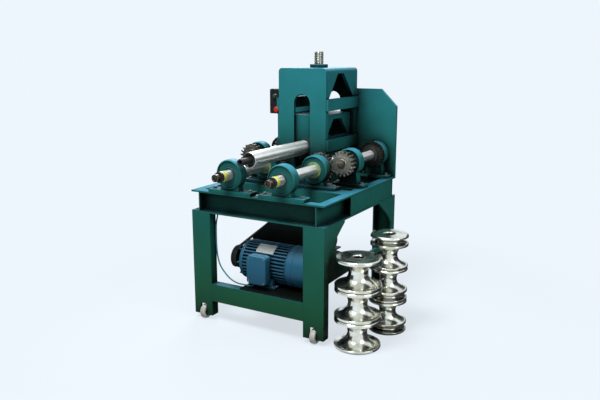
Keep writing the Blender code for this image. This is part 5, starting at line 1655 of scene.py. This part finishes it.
@dataclass
class UpperShaft:
    """The upper shaft with its recessed end and its hollow stub; black steel over its front face
    is painted shade.
    """

    radius: float = 0.040
    front: float = -0.040
    recess: float = 0.012
    recess_radius: float = 0.034
    stub_radius: float = 0.0175
    stub_bore: float = 0.010
    stub_reach: float = 0.080
    bore_depth: float = 0.030
    end: float = 0.955

    def build(self) -> None:
        """Turn the bar and its stub."""
        centre = (PLAN.middle, PLAN.upper_axis)
        floor = self.front + self.recess
        profile = [(CORE, floor), (self.recess_radius, floor), (self.recess_radius, self.front),
                   (self.radius, self.front), (self.radius, self.end), (CORE, self.end)]
        put("upper_shaft_bar", turned(eased(profile, 0.002), Axis.Y, centre), GROUND_BAR,
            "upper_shaft", ["upper_shaft"])
        tip = self.front - self.stub_reach
        inner = self.recess_radius - 0.001
        # painted shade: the black ring over the face's edge and the stub's black flange in the
        # recess darken the whole front face
        rim = ring(self.recess_radius + 0.0035, inner, self.front - 0.0008, self.front + 0.004,
                   Axis.Y, centre, 0.0005)
        stub = [(CORE, tip + self.bore_depth), (self.stub_bore, tip + self.bore_depth),
                (self.stub_bore, tip), (self.stub_radius, tip), (self.stub_radius, floor - 0.003),
                (inner, floor - 0.003), (inner, floor + 0.001), (CORE, floor + 0.001)]
        put("upper_shaft_stub", merged([turned(eased(stub, 0.0014), Axis.Y, centre), rim]),
            BLACK_STEEL, "upper_shaft")


@dataclass
class Drive:
    """The belt drive, the gearbox and its output sprockets."""

    width: float = 0.034
    belt_width: float = 0.015
    belt_thickness: float = 0.011
    motor_radius: float = 0.063
    gearbox_radius: float = 0.100
    lip: float = 0.002
    shaft: float = 0.014
    sprocket_radius: float = 0.040
    sprocket_teeth: int = 14
    output: tuple = (0.018, 0.6353, 0.834)
    cover: tuple = (0.058, 0.487)

    def build(self) -> None:
        """Build the pulleys, the belt, and what shows of the gearbox."""
        dress(["gearbox_housing"], CAST_IRON)
        self.add_pulley("motor_pulley", "motor_rotor", PLAN.motor, self.motor_radius, 0.2447)
        self.add_pulley("gearbox_pulley", "gearbox_input", PLAN.worm, self.gearbox_radius, 0.2547)
        self.add_belt()
        self.add_output()
        self.add_cover_bolts()

    def add_pulley(self, name: str, body: str, centre: tuple, radius: float, end: float) -> None:
        """Turn one pulley with its grooved rim, dished web, hub and shaft.

        Args:
            name: the solid model's name for it.
            body: the moving body that it rides on.
            centre: its axis.
            radius: the rim's radius.
            end: the shaft's end in X.
        """
        middle = PLAN.belt_middle
        left, right = middle - self.width / 2, middle + self.width / 2
        half = self.belt_width / 2 + 0.0005
        floor = radius - self.lip - self.belt_thickness - 0.0003
        hub = self.shaft + 0.012
        web = floor - 0.008
        profile = [(CORE, left + 0.001), (self.shaft, left + 0.001), (hub, left + 0.001),
                   (hub, left + 0.007), (web - 0.003, left + 0.007), (web, left), (radius, left),
                   (radius, middle - half), (floor, middle - half + 0.0012),
                   (floor, middle + half - 0.0012), (radius, middle + half), (radius, right),
                   (self.shaft, right), (self.shaft, end), (CORE, end)]
        put(f"{name}_wheel", turned(eased(profile, 0.0012), Axis.X, centre), BLACK_STEEL, body,
            [name])

    def add_belt(self) -> None:
        """Carry the belt's tapered section round both pulleys."""
        inner = self.lip + self.belt_thickness
        loop = Loop(PLAN.motor, self.motor_radius - inner, PLAN.worm, self.gearbox_radius - inner)
        places, headings = loop.points(220)
        normal = np.stack([np.cos(headings - math.pi / 2), np.sin(headings - math.pi / 2)], -1)
        half, thick = self.belt_width / 2, self.belt_thickness
        section = eased([(-0.72 * half, 0.0), (0.72 * half, 0.0), (half, 0.7 * thick),
                         (half, thick), (-half, thick), (-half, 0.7 * thick)], 0.001,
                        closed=True, steps=2)
        out = places[:, None] + normal[:, None] * section[None, :, 1:2]
        across = np.broadcast_to(PLAN.belt_middle + section[None, :, 0], out.shape[:2])
        grid = np.stack([across, out[..., 0], out[..., 1]], -1)
        put("drive_belt_loop", grid_shell(grid, True), BELT_RUBBER, "frame",
            ["drive_belt"], angle=50.0)

    def add_output(self) -> None:
        """Build the gearbox's output shaft with its two small sprockets."""
        centre = (PLAN.middle, PLAN.output_axis)
        shells = [bar([self.output], Axis.Y, centre)]
        for start in PLAN.chain_starts:
            teeth = sprocket_outline(centre, self.sprocket_teeth, self.sprocket_radius)
            shells.append(slab(teeth, Axis.Y, start + 0.010, start + 0.020))
            shells.append(ring(0.028, 0.0186, start + 0.002, start + 0.028, Axis.Y, centre))
        put("gearbox_sprocket_pair", merged(shells), BLACK_STEEL, "gearbox_output",
            ["gearbox_sprocket"])

    def add_cover_bolts(self) -> None:
        """Bolt the gearbox's round cover with six screws."""
        circle, face = self.cover
        angles = [math.radians(60 * step + 30) for step in range(6)]
        put_bolts("gearbox_cover_bolts", [
            hex_bolt((PLAN.middle + circle * math.cos(angle), face,
                      PLAN.output_axis + circle * math.sin(angle)), Axis.Y, -1.0, 0.005)
            for angle in angles])


@dataclass
class Motor:
    """The finned motor with its end bell, fan cover, terminal box and bare plate."""

    start: float = 0.225
    bell: float = 0.040
    length: float = 0.288
    core: float = 0.100
    fin: float = 0.111
    fin_count: int = 36
    cover: tuple = (0.114, 0.135, 0.050)
    floor: float = 0.2236
    foot_height: float = 0.012
    plate: tuple = (0.352, 0.462)

    def build(self) -> None:
        """Build the motor's pieces."""
        self.add_body()
        self.add_cover()
        self.add_box()
        self.add_plate()

    def add_body(self) -> None:
        """Cast the body with its fins, its bell and its feet."""
        body_start = self.start + self.bell
        end = body_start + self.length
        count = self.fin_count * 16
        angle = 2 * math.pi * np.arange(count) / count
        wave = np.clip(0.5 + 1.4 * np.cos(self.fin_count * angle), 0, 1)
        radius = self.core + (self.fin - self.core) * wave
        outline = np.stack([PLAN.motor[0] + radius * np.cos(angle),
                            PLAN.motor[1] + radius * np.sin(angle)], -1)
        fins = slab(outline, Axis.X, body_start + 0.010, end - 0.006)
        profile = [(0.0145, self.start), (0.052, self.start), (0.058, self.start + 0.006),
                   (0.064, self.start + 0.016), (0.098, self.start + 0.024),
                   (0.1085, self.start + 0.034), (0.1085, body_start + 0.012),
                   (0.0145, body_start + 0.012)]
        bell = turned(eased(profile, 0.004, closed=True), Axis.X, PLAN.motor, True)
        rim = ring(self.fin - 0.002, 0.06, end - 0.010, end, Axis.X, PLAN.motor, 0.002)
        ribs = [self.bell_rib(math.radians(angle)) for angle in range(0, 360, 45)]
        middle = body_start + self.length / 2
        foot_top = self.floor + self.foot_height
        feet = []
        for sign in (-1, 1):
            y = PLAN.motor[0] + sign * 0.080
            feet.append(block((middle - 0.080, middle + 0.080), (y - 0.035, y + 0.035),
                              (self.floor, foot_top)))
            feet.append(block((middle - 0.064, middle + 0.064), (y - 0.030, y - 0.006),
                              (self.floor + 0.002, PLAN.motor[1] - 0.060)))
        put("motor_body_casting", merged([fins, bell, rim, *ribs, *feet]), BLUE_ENAMEL, "frame",
            ["motor_body"], bevel_mm=1.0, angle=55.0)
        put_bolts("motor_foot_bolts", [
            hex_bolt((middle + dx, PLAN.motor[0] + dy, foot_top), Axis.Z, 1, 0.007)
            for dx in (-0.068, 0.068) for dy in (-0.103, 0.103)])

    def bell_rib(self, angle: float) -> Shell:
        """Make the radial rib of the end bell that stands at an angle about the motor's axis."""
        rib = block((self.start + 0.010, self.start + 0.030), (0.055, 0.100), (-0.003, 0.003))
        return rib.spun(Axis.X, angle, PLAN.motor)

    def add_cover(self) -> None:
        """Press the fan cover from sheet, with two rolled beads and bars over its intake."""
        radius, length, hole = self.cover
        start = self.start + self.bell + self.length + PLAN.seat
        end = start + length
        wall = 0.003
        outside = [(radius, start), (radius, start + 0.030), (radius - 0.0022, start + 0.034),
                   (radius, start + 0.038), (radius, end - 0.030), (radius - 0.009, end - 0.009),
                   (radius - 0.030, end), (hole, end)]
        inside = [(hole, end - wall), (radius - 0.031, end - wall),
                  (radius - 0.0115, end - 0.0115), (radius - wall, end - 0.031),
                  (radius - wall, start)]
        shell = turned(eased(outside + inside, 0.004, closed=True, steps=5), Axis.X, PLAN.motor,
                       True)
        put("motor_fan_cover_pressing", shell, BLUE_ENAMEL, "frame",
            ["motor_fan_cover"])
        bars = []
        for offset in np.linspace(-0.036, 0.036, 7):
            reach = math.sqrt((hole + 0.002) ** 2 - offset ** 2)
            path = np.array([(end - 0.0018, PLAN.motor[0] + offset, PLAN.motor[1] + share * reach)
                             for share in np.linspace(-1, 1, 9)])
            bars.append(tube(path, np.full(9, 0.0013), 8))
        put("fan_cover_bars", merged(bars), BLUE_ENAMEL, "frame")

    def add_box(self) -> None:
        """Cast the terminal box with its lid and the lid's screws."""
        left, right, low, high = PLAN.terminal
        front = PLAN.terminal_front
        inner = PLAN.motor[0] - 0.4 * self.fin
        case = lidded_box((left, right), (low, high), 0.022, 6, (front + 0.020, inner - 0.060),
                          (front, front + 0.019))
        neck = block((left + 0.012, right - 0.012), (front + 0.040, inner - 0.022),
                     (low + 0.016, high - 0.016))
        put("terminal_box_casting", merged([case, neck]), BLUE_ENAMEL, "frame",
            ["terminal_box"], bevel_mm=3.0, angle=55.0)
        put_bolts("terminal_box_screws",
                  corner_screws((left, right), (low, high), 0.014, front + 0.0002, 0.0035))

    def add_plate(self) -> None:
        """Bend a bare plate over the fins."""
        angle = np.radians(np.linspace(107, 139, 17))
        around = np.concatenate([angle, angle[::-1]])
        radius = np.repeat([self.fin + 0.0016, self.fin + 0.0004], len(angle))
        grid = along_axis(PLAN.motor[0] + radius * np.cos(around),
                          PLAN.motor[1] + radius * np.sin(around),
                          np.array(self.plate)[:, None], Axis.X)
        put("motor_blank_plate", grid_shell(grid), PLATE_ALUMINIUM, "frame",
            angle=40.0)


@dataclass
class ControlBox:
    """The control box beside the head, with a start and a stop button."""

    depth: float = 0.080
    front: float = 0.600
    height: float = 0.147
    button_reach: float = 0.006
    stem_radius: float = 0.008
    stem_length: float = 0.020

    def build(self) -> None:
        """Build the box, its lid and its buttons."""
        right, bottom = PLAN.control_right, PLAN.control_bottom
        left = right - PLAN.control_width
        x, z = (left, right), (bottom, bottom + self.height)
        case = lidded_box(x, z, 0.006, 4, (self.front + 0.012, self.front + self.depth),
                          (self.front + 0.0005, self.front + 0.0115))
        put("control_box_case", case, BLACK_ABS, "frame", ["control_box"],
            bevel_mm=1.5, angle=45.0)
        put_bolts("control_box_screws", corner_screws(x, z, 0.008, self.front + 0.0005, 0.0028))
        back = self.front - self.button_reach
        stem_end = back + self.stem_length
        for name, inset, rise, radius, length, finish, slot in (
                ("start_button", 0.036, 0.104, 0.012, 0.008, GREEN_ABS, "green_plastic"),
                ("stop_button", 0.054, 0.026, 0.018, 0.014, RED_ABS, "red_plastic")):
            centre = (left + inset, bottom + rise)
            bezel = ring(radius + 0.003, 0.0085, self.front - 0.0012, self.front + 0.001, Axis.Y,
                         centre, 0.0005)
            put(f"{name}_bezel", bezel, BOLT_STEEL, "frame")
            face = back - length
            head = [(CORE, face), (0.80 * radius, face + 0.0006), (radius, face + 0.35 * length),
                    (radius, back), (self.stem_radius, back), (self.stem_radius, stem_end),
                    (CORE, stem_end)]
            put(f"{name}_cap", turned(eased(head, 0.002), Axis.Y, centre, sides=64), finish, name,
                [name])


@dataclass
class MotorCable:
    """The cable from the motor's terminal box up to the control box."""

    diameter: float = 0.008
    bend: float = 0.024
    clearance: float = 0.006
    leg_start: float = 0.360
    leg_side: float = 0.120
    table_bottom: float = 0.616
    plate_top: float = 0.2233
    rail_top: float = 0.215
    rise_y: float = 0.640
    steps: int = 3

    def build(self) -> None:
        """Lay the cable along its route as a round sheath."""
        points = self.smooth(self.route())
        curve = bpy.data.curves.new("motor_cable_sheath", "CURVE")
        curve.dimensions = "3D"
        curve.bevel_depth = self.diameter / 2
        curve.bevel_resolution = 4
        curve.use_fill_caps = True
        spline = curve.splines.new("POLY")
        spline.points.add(len(points) - 1)
        world = points + PLACE
        spline.points.foreach_set("co", np.append(world, np.ones((len(world), 1)), 1).ravel())
        curve.materials.append(CABLE_PVC.material())
        cable = bpy.data.objects.new("motor_cable_sheath", curve)
        bpy.context.scene.collection.objects.link(cable)
        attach(cable, "frame")
        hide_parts("motor_cable")
        ends = [ring(0.0085, 0.0045, *heights, Axis.Z, place, 0.0008, 24) for heights, place in (
            ((0.2445, 0.2518), tuple(points[0][:2])), ((1.1015, 1.1108), tuple(points[-1][:2])))]
        put("cable_entry_glands", merged(ends), BLACK_ABS, "frame")

    def route(self) -> np.ndarray:
        """Lay the route out as the solid model does.

        It goes from the terminal box over the motor's plate and the rail to the front left leg,
        up that leg, over the table's side channel and along it, and up to the control box.

        Returns:
            The route's points.
        """
        bend = self.bend
        reach = self.clearance + self.diameter / 2
        inset = 0.25 * (PLAN.terminal[1] - PLAN.terminal[0])
        box_x, box_y = PLAN.terminal[0] + inset, PLAN.terminal_front + inset
        box_z = PLAN.terminal[2]
        leg_x, leg_y = self.leg_side + reach, PLAN.flange - reach
        inner = PLAN.flange + reach
        table_bottom, bottom = self.table_bottom, PLAN.control_bottom
        tray = table_bottom + 2 * bend
        rise_x, rise_y = PLAN.control_right - 0.38 * PLAN.control_width, self.rise_y
        route = [(box_x, box_y, box_z - 0.001), (box_x, box_y, box_z - 0.2 * bend),
                 (box_x - 0.1 * bend, box_y, box_z - 0.5 * bend)]
        over_plate = self.plate_top + self.diameter / 2 + 0.001
        over_rail = self.rail_top + reach
        for share in (0.07, 0.25, 0.45, 0.65, 0.82, 0.94):
            low = over_plate if share < 0.3 else over_rail
            route.append((box_x + (leg_x - box_x) * share, box_y + (leg_y - box_y) * share,
                          low + (self.leg_start - low) * share ** 4))
        route += [(leg_x, leg_y, self.leg_start + 2 * bend),
                  (leg_x, leg_y, table_bottom - 3 * bend),
                  (leg_x, inner - 0.2 * bend, table_bottom - 0.7 * bend),
                  (leg_x - 0.7 * bend, inner + 0.4 * bend, table_bottom + bend),
                  (inner + 1.2 * bend, inner + 1.2 * bend, tray - 0.2 * bend),
                  (inner, inner + 3 * bend, tray)]
        for share in (0.3, 0.6, 0.9):
            along = inner + 3 * bend + (rise_y - inner - 6 * bend) * share
            route.append((inner, along, tray - 2 * bend * share * (1 - share)))
        route += [(inner + 1.6 * bend, rise_y - 1.4 * bend, tray + 0.4 * bend),
                  (rise_x - 0.5 * bend, rise_y - 0.2 * bend, PLAN.top),
                  (rise_x, rise_y, PLAN.top + 3 * bend), (rise_x, rise_y, (PLAN.top + bottom) / 2),
                  (rise_x, rise_y, bottom - bend), (rise_x, rise_y, bottom - 0.001)]
        return np.array(route)

    def smooth(self, points: np.ndarray) -> np.ndarray:
        """Draw a smooth curve through the points, a cubic between each two of them.

        With A, B, C and D four points in a row, the way from B to C is half of
        2B + (C - A) t + (2A - 5B + 4C - D) t^2 + (3B - A - 3C + D) t^3.

        Args:
            points: the points.

        Returns:
            The points of the curve.
        """
        ends = np.concatenate([[2 * points[0] - points[1]], points, [2 * points[-1] - points[-2]]])
        before, start, end, after = ends[:-3], ends[1:-2], ends[2:-1], ends[3:]
        t = (np.arange(self.steps) / self.steps)[None, :, None]
        before, start, end, after = (part[:, None] for part in (before, start, end, after))
        curve = 0.5 * (2 * start + (end - before) * t
                       + (2 * before - 5 * start + 4 * end - after) * t ** 2
                       + (3 * start - before - 3 * end + after) * t ** 3)
        return np.concatenate([curve.reshape(-1, 3), points[-1:]])


@dataclass
class Wheels:
    """The four small wheels in the legs' feet."""

    radius: float = 0.040
    half: float = 0.015
    inset: float = 0.020
    leg_middle: float = 0.060
    tread_bore: float = 0.024

    def build(self) -> None:
        """Build each wheel with its tread and its hub."""
        for end, y in (("front", self.inset), ("rear", PLAN.depth - self.inset)):
            for side, x in zip(Side, (self.leg_middle, PLAN.width - self.leg_middle)):
                name = f"wheel_{end}_{side.word}"
                centre = (y, self.radius)
                left, right = x - self.half, x + self.half
                tread = [(self.tread_bore, left), (self.radius - 0.004, left),
                         (self.radius, left + 0.005), (self.radius, right - 0.005),
                         (self.radius - 0.004, right), (self.tread_bore, right)]
                put(f"{name}_tread", turned(eased(tread, 0.002, True), Axis.X, centre, True, 64),
                    TREAD_RUBBER, name, [name])
                hub = ring(self.tread_bore + 0.0005, 0.0064, left + 0.001, right - 0.001, Axis.X,
                           centre, 0.001, 48)
                put(f"{name}_hub", hub, GREEN_ENAMEL, name)


@dataclass
class DieStacks:
    """The two stacks of spare bending dies on the floor."""

    bore: float = 0.028
    edge: float = 0.006
    wide_height: float = 0.158
    twin_height: float = 0.1785

    def build(self) -> None:
        """Build every die of both stacks, from the floor up.

        A groove is its start and its end above the die's foot, and its waist's radius.
        """
        wide = [(0.018, self.wide_height - 0.018, 0.050)]
        rim, shallow, neck, narrow = 0.014, 0.032, 0.044, 0.074
        twin_end = self.twin_height - rim
        shallow_low = twin_end - shallow
        crowned = [(shallow_low, twin_end, narrow), (rim, shallow_low - rim, neck)]
        footed = [(2 * rim + shallow, twin_end, neck), (rim, rim + shallow, narrow)]
        for kind, centre, radius, height, levels in (
                ("wide", (0.959, 0.106), 0.120, self.wide_height, (wide, wide, wide)),
                ("twin", (1.010, 0.380), 0.101, self.twin_height, (footed, footed, crowned))):
            for level, grooves in enumerate(levels):
                self.add(f"{kind}_groove_die_{level + 1}", centre, radius, height, grooves,
                         level * (height + PLAN.seat))

    def add(self, name: str, centre: tuple, rim: float, height: float, grooves: list,
            bottom: float) -> None:
        """Turn one die from its rim, its grooves and its bore.

        A groove is half an ellipse from the rim's edge in to its waist, and the top has a
        shallow turned recess round the bore.

        Args:
            name: the solid model's name for it.
            centre: its axis.
            rim: the rim's radius.
            height: its height.
            grooves: its grooves, from the top down.
            bottom: height of its foot.
        """
        top = bottom + height
        lip = rim - 0.0005
        points = [(self.bore, top - 0.004), (self.bore + 0.004, top - 0.0005),
                  (0.62 * rim, top - 0.0005), (0.64 * rim, top), (rim - self.edge, top),
                  (rim, top - self.edge)]
        angle = np.radians(np.linspace(88, -88, 33))
        for low, high, waist in grooves:
            across = lip - (lip - waist) * np.cos(angle)
            upward = bottom + (low + high) / 2 + (high - low) / 2 * np.sin(angle)
            points += [(rim, bottom + high + 0.0008), *zip(across, upward),
                       (rim, bottom + low - 0.0008)]
        points += [(rim, bottom + self.edge), (rim - self.edge, bottom), (self.bore, bottom)]
        profile = eased(points, 0.0025, closed=True, steps=3)
        put(f"{name}_turning", turned(profile, Axis.Z, centre, True, 144), CHROMED_STEEL,
            "frame", [name], angle=45.0)


def main() -> None:
    """Build the studio and the machine."""
    logging.basicConfig(level=logging.INFO, format="%(name)s: %(message)s")
    for kind in (Studio, MotorCable, Table, Bearings, Rollers, Countershafts, Chains, PressHead,
                 PressScrew, UpperShaft, Drive, Motor, ControlBox, Wheels, DieStacks):
        kind().build()
    bpy.context.view_layer.update()


if __name__ == "__main__":
    main()
